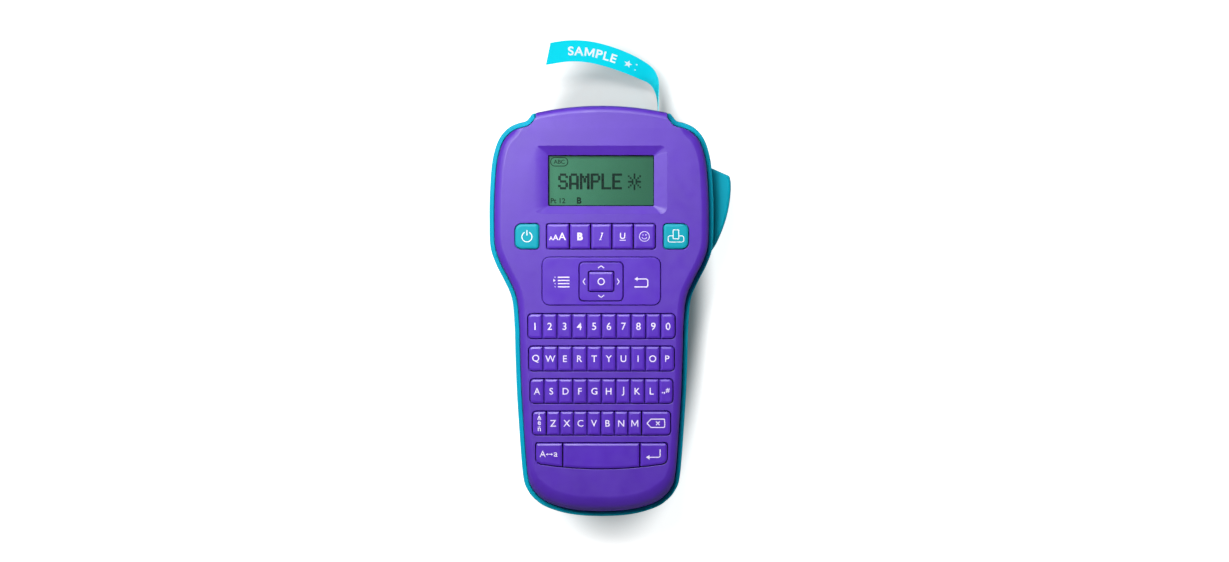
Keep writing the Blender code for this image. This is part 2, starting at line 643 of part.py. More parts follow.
def nav_cluster():
    """Menu and back rocker, the four-way pad inside it, its gimbal and the OK key."""
    panel = prism("menu_back_rocker", face_rectangle(NAV_PANEL, 3.6, 0, 3), -2.0, 0.9, FACE)
    round_edges(panel, 0.4, 1, lambda middle: 1.0 if middle.z > 0 else 0.0)
    middle_x = (NAV_RING[0] + NAV_RING[2]) / 2
    low, high = along_face(NAV_PANEL[1]), along_face(NAV_PANEL[3])
    join(panel, block("rocker_tabs", (middle_x - 5, low - 1.2, -4.2), (middle_x + 5, high + 1.2, -2.7),
                      FACE, CUTTERS),
         block("rocker_stem_low", (middle_x - 5, low, -4.2), (middle_x + 5, low + 1.4, -1), FACE, CUTTERS),
         block("rocker_stem_high", (middle_x - 5, high - 1.4, -4.2), (middle_x + 5, high, -1), FACE, CUTTERS))
    cut(panel, prism("nav_hole", face_rectangle(NAV_RING, 2.4, SLOT_GAP, 2), -5, 3, FACE, CUTTERS))
    finish(panel, "violet_plastic", (middle_x, (low + high) / 2, -1))
    pad = prism("nav_pad", face_rectangle(NAV_RING, 2.0), -2.0, 1.3, FACE)
    round_edges(pad, 0.4, 1, lambda middle: 1.0 if middle.z > 1 else 0.0)
    cut(pad, prism("ok_hole", face_rectangle(OK_KEY, 1.2, SLOT_GAP), -5, 3, FACE, CUTTERS))
    centre_y = along_face((NAV_RING[1] + NAV_RING[3]) / 2)
    finish(pad, "violet_plastic", (middle_x, centre_y, -1))
    gimbal = prism("nav_pivot", rectangle(middle_x - 9.6, centre_y - 8.4, middle_x + 9.6, centre_y + 8.4,
                                          1.5), -4.4, -3.2, FACE)
    cut(gimbal, block("pivot_window", (middle_x - 7.5, centre_y - 6.3, -6),
                      (middle_x + 7.5, centre_y + 6.3, 0), FACE, CUTTERS))
    finish(gimbal, "white_nylon", (middle_x, centre_y, -1))
    left, low, right, high = OK_KEY
    low, high = along_face(low), along_face(high)
    ok = prism("key_ok", rectangle(left, low, right, high, 1.0), KEY_LOW, KEY_TOP + 0.3, FACE)
    round_edges(ok, 0.5, 1, lambda middle: 1.0 if middle.z > KEY_TOP else 0.0)
    join(ok, block("ok_skirt", (left - 0.7, low - 0.7, KEY_LOW), (right + 0.7, high + 0.7, KEY_LOW + 0.9),
                   FACE, CUTTERS))
    finish(ok, "violet_plastic", ((left + right) / 2, (low + high) / 2, 0))


def board_outline(top):
    """Outline of the keypad mat and the board, which follow the narrow grip."""
    right = [(32.5, 21), (35.0, 40), (37.3, 85), (37.3, 117), (44.5, 127), (44.5, top)]
    return right + [(-x, y) for x, y in reversed(right)]


def electronics():
    mat = prism("keypad_mat", board_outline(147.5), *MAT, FACE)
    board = prism("main_board", board_outline(183), *BOARD, FACE)
    for number, (x, y) in enumerate(SCREWS[:4], 1):
        hole = rod(f"post_clearance_{number}", (x, y), 3.6, 0, 60, BODY, CUTTERS, 12)
        cut(board, hole)
        if y < 147:
            cut(mat, hole)
    finish(mat, "grey_rubber")
    finish(board, "board_green")


# -------------------------------------------------------------------- mechanism

def gear_outline(teeth, phase, centre):
    """Straight-sided teeth, a little slimmer than the gaps."""
    pitch_angle = 2 * math.pi / teeth
    pitch_r = GEAR_MODULE * teeth / 2
    tip_r, root_r = pitch_r + 0.8 * GEAR_MODULE, pitch_r - 1.1 * GEAR_MODULE
    shape = ((-0.27, root_r), (-0.11, tip_r), (0.11, tip_r), (0.27, root_r))
    points = []
    for tooth in range(teeth):
        for share, radius in shape:
            angle = phase + (tooth + share) * pitch_angle
            points.append((centre[0] + radius * math.cos(angle), centre[1] + radius * math.sin(angle)))
    return points


def meshed_phase(centre, teeth, phase, other_centre, other_teeth):
    """Phase of the other gear so that its gap faces this gear's tooth."""
    direction = math.atan2(other_centre[1] - centre[1], other_centre[0] - centre[0])
    pitch, other_pitch = 2 * math.pi / teeth, 2 * math.pi / other_teeth
    share = (direction - phase) / pitch
    return direction + math.pi - (0.5 - share) * other_pitch


def at_angle(centre, teeth, other_teeth, degrees):
    """Centre of a gear that meshes with another, in a given direction from it."""
    reach = GEAR_MODULE * (teeth + other_teeth) / 2
    angle = math.radians(degrees)
    return centre[0] + reach * math.cos(angle), centre[1] + reach * math.sin(angle)


IDLER = at_angle(PLATEN, PLATEN_TEETH, IDLER_TEETH, 170)
PINION = at_angle(IDLER, IDLER_TEETH, PINION_TEETH, 180)
SPINDLE = at_angle(IDLER, IDLER_TEETH, SPINDLE_TEETH, 250)


def gear(name, teeth, phase, centre, bore, material):
    wheel = prism(name, gear_outline(teeth, phase, centre), GEAR_LOW, GEAR_HIGH)
    cut(wheel, rod(name + "_bore", centre, bore, 20, 40, BODY, CUTTERS, 12))
    return finish(wheel, material, (*centre, 0))


def gear_train():
    platen_phase = 0.0
    idler_phase = meshed_phase(PLATEN, PLATEN_TEETH, platen_phase, IDLER, IDLER_TEETH)
    pinion_phase = meshed_phase(IDLER, IDLER_TEETH, idler_phase, PINION, PINION_TEETH)
    spindle_phase = meshed_phase(IDLER, IDLER_TEETH, idler_phase, SPINDLE, SPINDLE_TEETH)
    gear("platen_gear", PLATEN_TEETH, platen_phase, PLATEN, 1.5, "white_nylon")
    gear("idler_gear", IDLER_TEETH, idler_phase, IDLER, 1.5, "white_nylon")
    gear("motor_pinion", PINION_TEETH, pinion_phase, PINION, 1.3, "steel")
    spindle_teeth = gear_outline(SPINDLE_TEETH, spindle_phase, SPINDLE)
    spindle = prism("ribbon_spindle", spindle_teeth, GEAR_LOW, GEAR_HIGH)
    join(spindle, rod("spindle_shaft", SPINDLE, 1.2, 18, GEAR_HIGH - 1, BODY, CUTTERS, 12),
         rod("spindle_drive", SPINDLE, 2.0, 4.6, 20.8, BODY, CUTTERS, 6))
    finish(spindle, "white_nylon", (*SPINDLE, 0))


def mechanism_plate():
    plate = prism("mechanism_plate", rectangle(-24, 109.5, 35.8, 190.5, 2), PLATE_LOW, PLATE_HIGH)
    join(plate, rod("idler_post", IDLER, 1.2, PLATE_HIGH - 1, GEAR_HIGH + 0.6, BODY, CUTTERS, 12))
    cut(plate, rod("platen_clear", PLATEN, 1.6, 15, 35, BODY, CUTTERS, 12),
        rod("spindle_clear", SPINDLE, 1.6, 15, 35, BODY, CUTTERS, 12),
        rod("motor_clear", PINION, 1.6, 15, 35, BODY, CUTTERS, 12),
        rod("post_clear_left", SCREWS[2], 4.0, 0, 60, BODY, CUTTERS),
        rod("post_clear_right", SCREWS[3], 4.0, 0, 60, BODY, CUTTERS),
        rod("post_clear_top", SCREWS[1], 4.2, 0, 60, BODY, CUTTERS))
    finish(plate, "dark_plastic")


def feed_mechanism():
    roller_profile = [(0, GEAR_HIGH + 0.2), (1.2, GEAR_HIGH + 0.2), (1.2, TAPE_HIGH + 0.4),
                      (PLATEN_R, TAPE_HIGH + 0.4), (PLATEN_R, TAPE_LOW - 0.4), (1.2, TAPE_LOW - 0.4),
                      (1.2, 4.4), (0, 4.4)]
    roller = turned("platen_roller", roller_profile, 20)
    finish(roller, "black_rubber")
    roller.location = (PLATEN[0] * MM, PLATEN[1] * MM, 0)
    head = block("print_head", (21.5, 176, 5), (TAPE_X - TAPE_THICK / 2 - 0.15, 183.4, 20.5))
    finish(head, "dark_plastic")
    can = rectangle(PINION[0] - 6, PINION[1] - 5, PINION[0] + 6, PINION[1] + 5, 3.5, 3)
    motor = prism("feed_motor", can, 6, 21.7)
    join(motor, rod("motor_shaft", PINION, 1.0, 20, GEAR_HIGH + 0.4, BODY, CUTTERS, 12))
    finish(motor, "steel")


def ring(name, centre, bore, radius, low, high, steps, material):
    profile = [(bore, high), (radius, high), (radius, low), (bore, low), (bore, high)]
    piece = turned(name, profile, steps)
    finish(piece, material)
    piece.location = (centre[0] * MM, centre[1] * MM, 0)


def tape_path():
    web_low, web_high = ROLL[1], 186.9
    web = block("tape_web", (TAPE_X - TAPE_THICK / 2, web_low, TAPE_LOW),
                (TAPE_X + TAPE_THICK / 2, web_high, TAPE_HIGH))
    finish(web, "cyan_tape")
    case = prism("cassette_case", rectangle(*CASE, 3), 3, 21)
    inner = prism("case_inner", rectangle(*CASE, 2, grow=-CASE_WALL), 3 + CASE_WALL, 25, BODY, CUTTERS)
    cut(inner, rod("roll_hub", ROLL, 4.0, 0, 17, BODY, CUTTERS),
        rod("supply_hub", SUPPLY, 2.2, 0, 17, BODY, CUTTERS, 12))
    cut(case, inner, rod("spindle_window", SPINDLE, 2.8, 0, 10, BODY, CUTTERS, 12))
    cut(case, block("tape_gate", (TAPE_X - 0.6, 165, 3 + CASE_WALL), (TAPE_X + 0.6, 180, 25), BODY, CUTTERS))
    finish(case, "dark_plastic")
    ring("tape_roll", ROLL, 4.5, ROLL_R, TAPE_LOW, TAPE_HIGH, 32, "cyan_tape")
    ring("ribbon_takeup_spool", SPINDLE, 2.4, 4.2, 5.2, 18.8, 16, "ribbon_black")
    ring("ribbon_supply_spool", SUPPLY, 2.5, 7.0, 5.2, 18.8, 20, "ribbon_black")


# Centre line of the printed label: x, y, z and how far it has twisted, in degrees.
LABEL_PATH = [(28.5, 189.6, 12, 0), (28.5, 197, 12, 0), (28.5, 203, 12, 0), (28.3, 209.3, 12.3, 3),
              (27.5, 214.5, 12.9, 13), (25.8, 218.7, 13.9, 27), (21.6, 222.5, 15.4, 43), (12, 227.1, 18.2, 54),
              (2.4, 230.4, 20.6, 58), (-7.2, 232.5, 22.8, 60), (-16.8, 232.8, 24.6, 60), (-26.8, 231.3, 26, 60)]
LABEL_END_SLANT = 4.0


def printed_label():
    """Twisted strip: an open surface through the edge points, thickened."""
    path = smooth(LABEL_PATH, 2)
    width = TAPE_HIGH - TAPE_LOW
    mesh = bpy.data.meshes.new("printed_label")
    vertices = []
    for k, (x, y, z, twist) in enumerate(path):
        a, b = path[max(k - 1, 0)], path[min(k + 1, len(path) - 1)]
        along = Vector((b[0] - a[0], b[1] - a[1], 0)).normalized()
        outward = Vector((along.y, -along.x, 0))
        turn = math.radians(twist)
        across = Vector((0, 0, math.cos(turn))) + outward * math.sin(turn)
        slant = along * (LABEL_END_SLANT / 2 if k == len(path) - 1 else 0)
        centre = Vector((x, y, z))
        vertices.append((centre - across * width / 2 + slant) * MM)
        vertices.append((centre + across * width / 2 - slant) * MM)
    faces = [(2 * k, 2 * k + 1, 2 * k + 3, 2 * k + 2) for k in range(len(path) - 1)]
    mesh.from_pydata(vertices, [], faces)
    label = link("printed_label", mesh, BODY)
    shell = label.modifiers.new("thickness", "SOLIDIFY")
    shell.thickness = TAPE_THICK * MM
    shell.offset = 0.0
    finish(label, "cyan_tape", (TAPE_X, LABEL_PATH[0][1], 12))


LEVER_PAD = [(54.3, 132.6), (56.8, 136), (58.9, 140.4), (60.8, 145.2), (62.4, 150.2), (63.6, 156), (64.2, 161),
             (64.3, 166.4), (63.2, 169.2), (55.6, 173.6), (50.3, 175.2), (48.3, 172), (48.0, 150), (45.5, 137)]
LEVER_ARM = [(36.6, 124.6), (43.0, 123.4), (48.5, 140), (48.6, 173), (46.6, 183.5), (44.4, 188.6), (37.6, 188.6),
             (37.6, 185.7), (43.0, 185.7), (43.3, 182), (43.3, 170), (42.8, 140)]


def cutter():
    pivot = (*LEVER_PIVOT, 16)
    lever = prism("cutter_lever", LEVER_PAD, 8, 25.6)
    join(lever, prism("lever_arm", LEVER_ARM, 12, 21, BODY, CUTTERS),
         rod("lever_boss", LEVER_PIVOT, 4.2, 10, 21.2, BODY, CUTTERS))
    cut(lever, rod("lever_bore", LEVER_PIVOT, 1.8, 5, 30, BODY, CUTTERS, 12))
    finish(lever, "teal_plastic", pivot)
    blade = block("cutter_blade", (31.2, 188.6, 5), (41.5, 189.1, 19.2))
    finish(blade, "steel", pivot)
    pin = rod("lever_pin", LEVER_PIVOT, 1.5, 3.2, 27.5, BODY, sides=12)
    finish(pin, "steel")
    cutter_spring()


def cutter_spring():
    """Torsion spring coiled round the pin, above the lever's boss."""
    turns, per_turn, radius, wire = 3.25, 12, 3.0, 0.35
    curve = bpy.data.curves.new("cutter_spring", "CURVE")
    curve.dimensions = "3D"
    curve.bevel_depth = wire * MM
    curve.bevel_resolution = 1
    curve.use_fill_caps = True
    curve.render_resolution_u = 0
    count = int(turns * per_turn)
    spline = curve.splines.new("POLY")
    spline.points.add(count)
    for k, point in enumerate(spline.points):
        angle = 2 * math.pi * k / per_turn
        height = 22.0 + 1.1 * k / per_turn
        point.co = (radius * math.cos(angle) * MM, radius * math.sin(angle) * MM, height * MM, 1)
    spring = bpy.data.objects.new("cutter_spring", curve)
    spring.parent = BODY
    spring.location = (LEVER_PIVOT[0] * MM, LEVER_PIVOT[1] * MM, 0)
    curve.materials.append(MATERIALS["steel"])
    PIECES.objects.link(spring)


# ------------------------------------------------------------------------ power

def batteries():
    axis_height = 3.2 + CELL_R
    for number in range(6):
        x = (number - 2.5) * CELL_PITCH
        up = 1 if number % 2 == 0 else -1
        profile = [(0, CELL_LENGTH / 2), (1.9, CELL_LENGTH / 2), (1.9, CELL_LENGTH / 2 - 0.9),
                   (CELL_R, CELL_LENGTH / 2 - 0.9), (CELL_R, -CELL_LENGTH / 2), (0, -CELL_LENGTH / 2)]
        cell = turned(f"battery_{number + 1}", profile, 16)
        finish(cell, "cell_jacket")
        cell.location = (x * MM, (CELL_LOW + CELL_LENGTH / 2) * MM, axis_height * MM)
        cell.rotation_euler = (math.radians(-90 * up), 0, 0)
    for name, plate_y in (("battery_contact_lower", 37.5), ("battery_contact_upper", 88.1)):
        plate = block(name, (-32.6, plate_y, 4.6), (32.6, plate_y + 0.4, 13.6))
        inward = 1 if plate_y < 60 else -1
        for number in range(6):
            x = (number - 2.5) * CELL_PITCH
            join(plate, contact_cone(f"{name}_cone_{number}", x, plate_y + 0.2, inward, axis_height))
        finish(plate, "steel")


def contact_cone(name, x, y, inward, height):
    """Spring contact, drawn as the cone that its coil fills."""
    cone = rod(name, (0, 0), 2.6, 0, 1.9, BODY, CUTTERS, 8, 1.4)
    cone.location = (x * MM, y * MM, height * MM)
    cone.rotation_euler = (math.radians(-90 * inward), 0, 0)
    return cone


# ------------------------------------------------------------------------ build

front_cover()
rear_housing()
door("cassette_door", CASSETTE_OPENING, CASSETTE_OPENING[1] + GAP)
door("battery_door", BATTERY_OPENING, BATTERY_OPENING[1] + GAP)
for index, (screw_x, screw_y) in enumerate(SCREWS, 1):
    case_screw(index, screw_x, screw_y)
display()
keyboard()
nav_cluster()
electronics()
mechanism_plate()
gear_train()
feed_mechanism()
tape_path()
printed_label()
cutter()
batteries()
for piece in PIECES.objects:
    if piece.type == "MESH":
        shade_round(piece)
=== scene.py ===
"""Visual model of a handheld label maker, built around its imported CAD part."""
import json
import math
import re

import bmesh
import bpy
import numpy as np
from mathutils import Matrix, Vector


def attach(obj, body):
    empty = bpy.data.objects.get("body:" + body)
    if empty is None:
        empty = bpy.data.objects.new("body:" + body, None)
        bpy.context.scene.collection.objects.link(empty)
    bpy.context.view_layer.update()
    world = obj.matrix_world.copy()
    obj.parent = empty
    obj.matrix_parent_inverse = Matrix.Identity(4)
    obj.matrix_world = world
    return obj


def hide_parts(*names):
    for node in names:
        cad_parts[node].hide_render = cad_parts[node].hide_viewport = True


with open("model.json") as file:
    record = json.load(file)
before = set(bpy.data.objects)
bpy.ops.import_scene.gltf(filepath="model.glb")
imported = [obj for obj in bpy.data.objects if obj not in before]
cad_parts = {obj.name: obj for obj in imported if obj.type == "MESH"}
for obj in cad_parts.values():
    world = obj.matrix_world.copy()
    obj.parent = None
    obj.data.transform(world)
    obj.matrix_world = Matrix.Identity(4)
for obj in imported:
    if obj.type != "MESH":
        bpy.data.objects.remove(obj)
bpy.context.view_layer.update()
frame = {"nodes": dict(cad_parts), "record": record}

MM = 0.001
JOINTS = {joint["name"]: joint for joint in frame["record"]["behaviour"]["joints"]}
TILT = math.asin(JOINTS["key_ok_press"]["axis"][1])
LEVER_PIVOT = (40.0, 127.0)
HALF_LENGTH = LEVER_PIVOT[1] - JOINTS["cutter_squeeze"]["pos_m"][1] / MM
FACE_LOW = 36.0
BODY_FRAME = Matrix.Translation((0, -HALF_LENGTH * MM, 0))
FACE_FRAME = BODY_FRAME @ Matrix.Translation((0, 0, FACE_LOW * MM)) @ Matrix.Rotation(TILT, 4, "X")
TO_FACE = FACE_FRAME.inverted()

# Right half of the housing's outline and of the cover's parts, in millimetres, upwards from the chin.
SIDE = [(0, -0.8), (8, -0.55), (15, 0.2), (22, 1.8), (29, 4.5), (32.5, 7), (35.2, 9.6), (37, 12.3),
        (38.5, 15.4), (39.4, 20), (40.1, 27), (41.2, 42), (42.4, 61), (43.1, 79), (43.6, 96), (45, 109),
        (48.5, 117.2), (52.6, 125.2), (55.5, 133.6), (56.1, 147), (55.8, 163), (54.2, 179.5),
        (50.9, 188.9), (46.3, 193.9)]
NOTCH = [(41.8, 196), (37.6, 197.2), (35.8, 199.2)]
HORN = [(34.5, 200.7), (32.5, 201), (17, 203.1), (0, 203.8)]
PLAIN_TOP = [(40.5, 197), (18, 201.6), (0, 202.4)]
CROWN_CORNER = (40.2, 197.2)
TONGUE_CORNER = (32.75, 201.2)
TONGUE_TOP, TONGUE_GAP = 204.7, 0.6
STEPS = 6

RIM_WIDTH, COVER_GAP = 2.3, 0.25
RIM_LOW, RIM_HIGH, SEAT = -16.0, -8.5, -12.3
COVER_LOW, COVER_WALL = -12.0, 2.0
SHOULDER_SIDE, SHOULDER_CHIN, SHOULDER_CREST = 3.8, 8.0, 3.0
SHOULDER = ((0.0, 0.85), (0.03, 0.68), (0.1, 0.5), (0.2, 0.36), (0.32, 0.245), (0.42, 0.18), (0.6, 0.09),
            (0.8, 0.028), (0.92, 0.006), (1.0, 0.0))
NOTCH_START, NOTCH_FAR = 190.6, (54, 209)
RECESS = (-33.9, 150.65, 32.8, 184.85)
RECESS_DEPTH, RECESS_FLOOR, RECESS_WALL = 2.2, -4.6, 2.0
SLOT_GAP = 0.4
# Shares of the flare by which a slot's rounded mouth lies outwards and below the face.
MOUTH = ((0, 1), (0.08, 0.62), (0.29, 0.29), (0.62, 0.08))
PAST_MOUTH = 1.04
CLEAR, ABOVE_FACE = 0.02, 4.0

TUB_INSET, TUB_WALL, TUB_ROUND, TUB_TOP = 1.6, 2.0, 9.0, 34.0
BAY_LOW, BAY_HIGH, BAY_FLOOR, BAY_TOP, BAY_WALL = 36.0, 90.0, 2.8, 16.0, 1.2
TAPE_X, TAPE_LOW, TAPE_HIGH, TAPE_ROOM = 28.5, 6.0, 18.0, 1.2
LEVER_WINDOW = (44, 130.3, 7.2), (70, 178, 26.5)
CASSETTE_OPENING = (-27.0, 109.3, 33.4, 188.0)
BATTERY_OPENING = (-33.5, 22.0, 33.5, 93.5)
OPENING_CORNER = 3.0
OPENING_EDGE = ((-0.35, -5), (-0.35, 0.0), (-0.1, 0.1), (0, 0.35), (0, 8))
GAP = 0.3
DOOR_RECESS = 0.4
GRIP_GROOVES, GRIP_HALF, GRIP_PITCH, GRIP_ROUND = 4, 14.0, 2.2, 0.45
SCREWS = [(-40, 184), (22, 194.4), (-37, 114), (37, 114), (-18, 15.5), (18, 15.5)]
SCREW_SEAT, SCREW_HEAD, SCREW_HOLE = 8.0, 2.4, 1.55
BOSS_RADIUS, BOSS_DROP = 3.3, 15.0

FORMAT_KEYS = ("key_size", "key_bold", "key_italic", "key_underline", "key_symbols")
SPACE_ROW = ("key_case", "key_space", "key_return")
BELOW_CAPS, SKIRT_TOP, BELOW_WINDOW = -1.9, -2.2, -9.0
ROW_CORNER, INNER_CORNER, LOW_CORNER = 1.9, 0.35, 2.9


# ---- outlines

def along_face(y, depth=0.0):
    """Distance up the tilted face of a point seen at height y, lying at this depth."""
    return (y + depth * math.sin(TILT)) / math.cos(TILT)


def smooth(knots, steps=STEPS):
    """Points of a centripetal Catmull-Rom curve through the knots."""
    p = [np.array(k, dtype=float) for k in knots]
    p = [2 * p[0] - p[1]] + p + [2 * p[-1] - p[-2]]
    points = []
    for a, b, c, d in zip(p, p[1:], p[2:], p[3:]):
        t = np.cumsum([0.0] + [math.sqrt(np.linalg.norm(v - u)) for u, v in ((a, b), (b, c), (c, d))])
        for s in np.linspace(t[1], t[2], steps, endpoint=False):
            ab = ((t[1] - s) * a + s * b) / t[1]
            bc = ((t[2] - s) * b + (s - t[1]) * c) / (t[2] - t[1])
            cd = ((t[3] - s) * c + (s - t[2]) * d) / (t[3] - t[2])
            left = ((t[2] - s) * ab + s * bc) / t[2]
            right = ((t[3] - s) * bc + (s - t[1]) * cd) / (t[3] - t[1])
            points.append(((t[2] - s) * left + (s - t[1]) * right) / (t[2] - t[1]))
    points.append(p[-2])
    return [tuple(point) for point in points]


def inset(line, distance):
    """Move an open line, running up the right side, towards the middle."""
    points = np.array(line)
    ahead = np.vstack([points[1:], points[-1:]])
    behind = np.vstack([points[:1], points[:-1]])
    direction = ahead - behind
    direction[0] = (1, 0)
    direction /= np.linalg.norm(direction, axis=1)[:, None]
    normal = np.column_stack([-direction[:, 1], direction[:, 0]])
    return [tuple(point) for point in points + distance * normal]


def closed(right_side):
    """Both halves of an outline whose right side starts and ends on the middle line."""
    left = [(-x, y) for x, y in reversed(right_side[1:-1])]
    return list(right_side) + left


def shrink(loop, distance):
    """Move a closed loop inwards by a distance; it runs anticlockwise."""
    if abs(distance) < 1e-9:
        return list(loop)
    p = np.array(loop, dtype=float)
    ahead = np.roll(p, -1, axis=0) - p
    ahead /= np.maximum(np.linalg.norm(ahead, axis=1), 1e-9)[:, None]
    behind = np.roll(ahead, 1, axis=0)
    normal = np.column_stack([-(ahead + behind)[:, 1], (ahead + behind)[:, 0]])
    length = np.maximum(np.linalg.norm(normal, axis=1), 1e-9)
    stretch = np.minimum(2.0 / length, 1.6)
    return [tuple(q) for q in p + normal / length[:, None] * (distance * stretch)[:, None]]


def fillet(corners, radii, steps=5):
    """Closed anticlockwise loop with each corner rounded to its radius."""
    p = [np.array(c, dtype=float) for c in corners]
    if not hasattr(radii, "__len__"):
        radii = [radii] * len(p)
    points = []
    for k, radius in enumerate(radii):
        a, b, c = p[k - 1], p[k], p[(k + 1) % len(p)]
        if radius <= 0:
            points.append(tuple(b))
            continue
        u, v = (a - b) / np.linalg.norm(a - b), (c - b) / np.linalg.norm(c - b)
        half = math.acos(float(np.clip(np.dot(u, v), -1, 1))) / 2
        reach = radius / math.tan(half)
        centre = b + (u + v) / np.linalg.norm(u + v) * radius / math.sin(half)
        start, end = b + u * reach - centre, b + v * reach - centre
        turn = math.pi - 2 * half
        cross = start[0] * end[1] - start[1] * end[0]
        for s in range(steps + 1):
            angle = turn * s / steps * (1 if cross > 0 else -1)
            cos, sin = math.cos(angle), math.sin(angle)
            points.append((centre[0] + start[0] * cos - start[1] * sin,
                           centre[1] + start[0] * sin + start[1] * cos))
    return points


def box_corners(area, grow=0.0):
    left, low, right, high = area
    return [(left - grow, low - grow), (right + grow, low - grow), (right + grow, high + grow),
            (left - grow, high + grow)]


def rounding(radius, steps=4):
    """Inset and height of each ring of a rounded edge, from its side up to its top."""
    angles = [math.pi / 2 * k / steps for k in range(steps + 1)]
    return [(radius * (1 - math.cos(a)), -radius * (1 - math.sin(a))) for a in angles]


def face_vertices(node):
    """Vertices of a CAD node in the face frame, in millimetres."""
    return np.array([TO_FACE @ v.co for v in frame["nodes"][node].data.vertices]) / MM


def cap_area(node, floor=BELOW_CAPS):
    """Left, low, right and high of the part of a CAD node above the floor, and then its top."""
    points = face_vertices(node)
    points = points[points[:, 2] > floor]
    low, high = points.min(0), points.max(0)
    return (low[0], low[1], high[0], high[1]), high[2]


# ---- making meshes

TEMP = []
SHARP, SHARP_COVER = 35, 18


def add_loft(work, rings):
    """Closed solid through rings with equal numbers of (x, y, z) points in millimetres."""
    loops = [[work.verts.new(Vector(point) * MM) for point in ring] for ring in rings]
    for below, above in zip(loops, loops[1:]):
        for k in range(len(below)):
            work.faces.new((below[k - 1], below[k], above[k], above[k - 1]))
    work.faces.new(list(reversed(loops[0])))
    work.faces.new(loops[-1])


def stack(outline, profile):
    """Rings that follow an outline: one for each (inset, height) of the profile."""
    return [[(x, y, z) for x, y in shrink(outline, distance)] for distance, z in profile]


def slab(outline, low, high, edge):
    """Rings of a plate whose upper and lower edges are chamfered."""
    return stack(outline, [(edge, low), (0, low + edge), (0, high - edge), (edge, high)])


def prism(outline, low, high):
    return [[(x, y, z) for x, y in outline] for z in (low, high)]


def new_mesh(name, work, place=BODY_FRAME):
    bmesh.ops.remove_doubles(work, verts=work.verts, dist=1e-7)
    bmesh.ops.recalc_face_normals(work, faces=work.faces)
    mesh = bpy.data.meshes.new(name)
    work.to_mesh(mesh)
    work.free()
    mesh.transform(place)
    piece = bpy.data.objects.new(name, mesh)
    bpy.context.scene.collection.objects.link(piece)
    mesh.shade_smooth()
    mesh.set_sharp_from_angle(angle=math.radians(SHARP))
    return piece


def solid(name, rings, place=BODY_FRAME):
    work = bmesh.new()
    add_loft(work, rings)
    return new_mesh(name, work, place)


def cutter(rings, place=BODY_FRAME):
    piece = solid("cutter", rings, place)
    TEMP.append(piece)
    return piece


def block(low, high, place=BODY_FRAME):
    return cutter(prism(box_corners((low[0], low[1], high[0], high[1])), low[2], high[2]), place)


def circle(centre, radius, sides=24):
    return [(centre[0] + radius * math.cos(2 * math.pi * k / sides),
             centre[1] + radius * math.sin(2 * math.pi * k / sides)) for k in range(sides)]


def rod(centre, radius, low, high):
    return cutter(prism(circle(centre, radius), low, high))


def carve(piece, operation, *tools):
    """Boolean steps that also stand faces which nearly touch."""
    for tool in tools:
        step = piece.modifiers.new("step", "BOOLEAN")
        step.operation = operation
        step.solver = "EXACT"
        step.use_hole_tolerant = True
        step.object = tool


def apply_all(piece, sharp=SHARP):
    """Replace a piece's mesh by the one its modifiers make, without the slivers they leave."""
    bpy.context.view_layer.update()
    graph = bpy.context.evaluated_depsgraph_get()
    mesh = bpy.data.meshes.new_from_object(piece.evaluated_get(graph))
    piece.modifiers.clear()
    work = bmesh.new()
    work.from_mesh(mesh)
    bmesh.ops.remove_doubles(work, verts=work.verts, dist=2e-6)
    bmesh.ops.dissolve_degenerate(work, edges=work.edges, dist=1e-6)
    work.to_mesh(mesh)
    work.free()
    mesh.shade_smooth()
    mesh.set_sharp_from_angle(angle=math.radians(sharp))
    piece.data = mesh
    return piece


def settle(piece, body, material, slot, *nodes):
    """Give a piece its finish, body and CAD nodes, and keep flat faces flat in its shading."""
    piece.data.materials.clear()
    piece.data.materials.append(material)
    even = piece.modifiers.new("even_normals", "WEIGHTED_NORMAL")
    even.keep_sharp = True
    even.weight = 80
    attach(piece, body)
    if nodes:
        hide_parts(*nodes)
    return piece


# ---- materials

def map_range(nodes, source_low, source_high, low, high):
    """Node that carries the first range of values over to the second."""
    node = nodes.new("ShaderNodeMapRange")
    sockets = ("From Min", "From Max", "To Min", "To Max")
    for socket, number in zip(sockets, (source_low, source_high, low, high)):
        node.inputs[socket].default_value = number
    return node


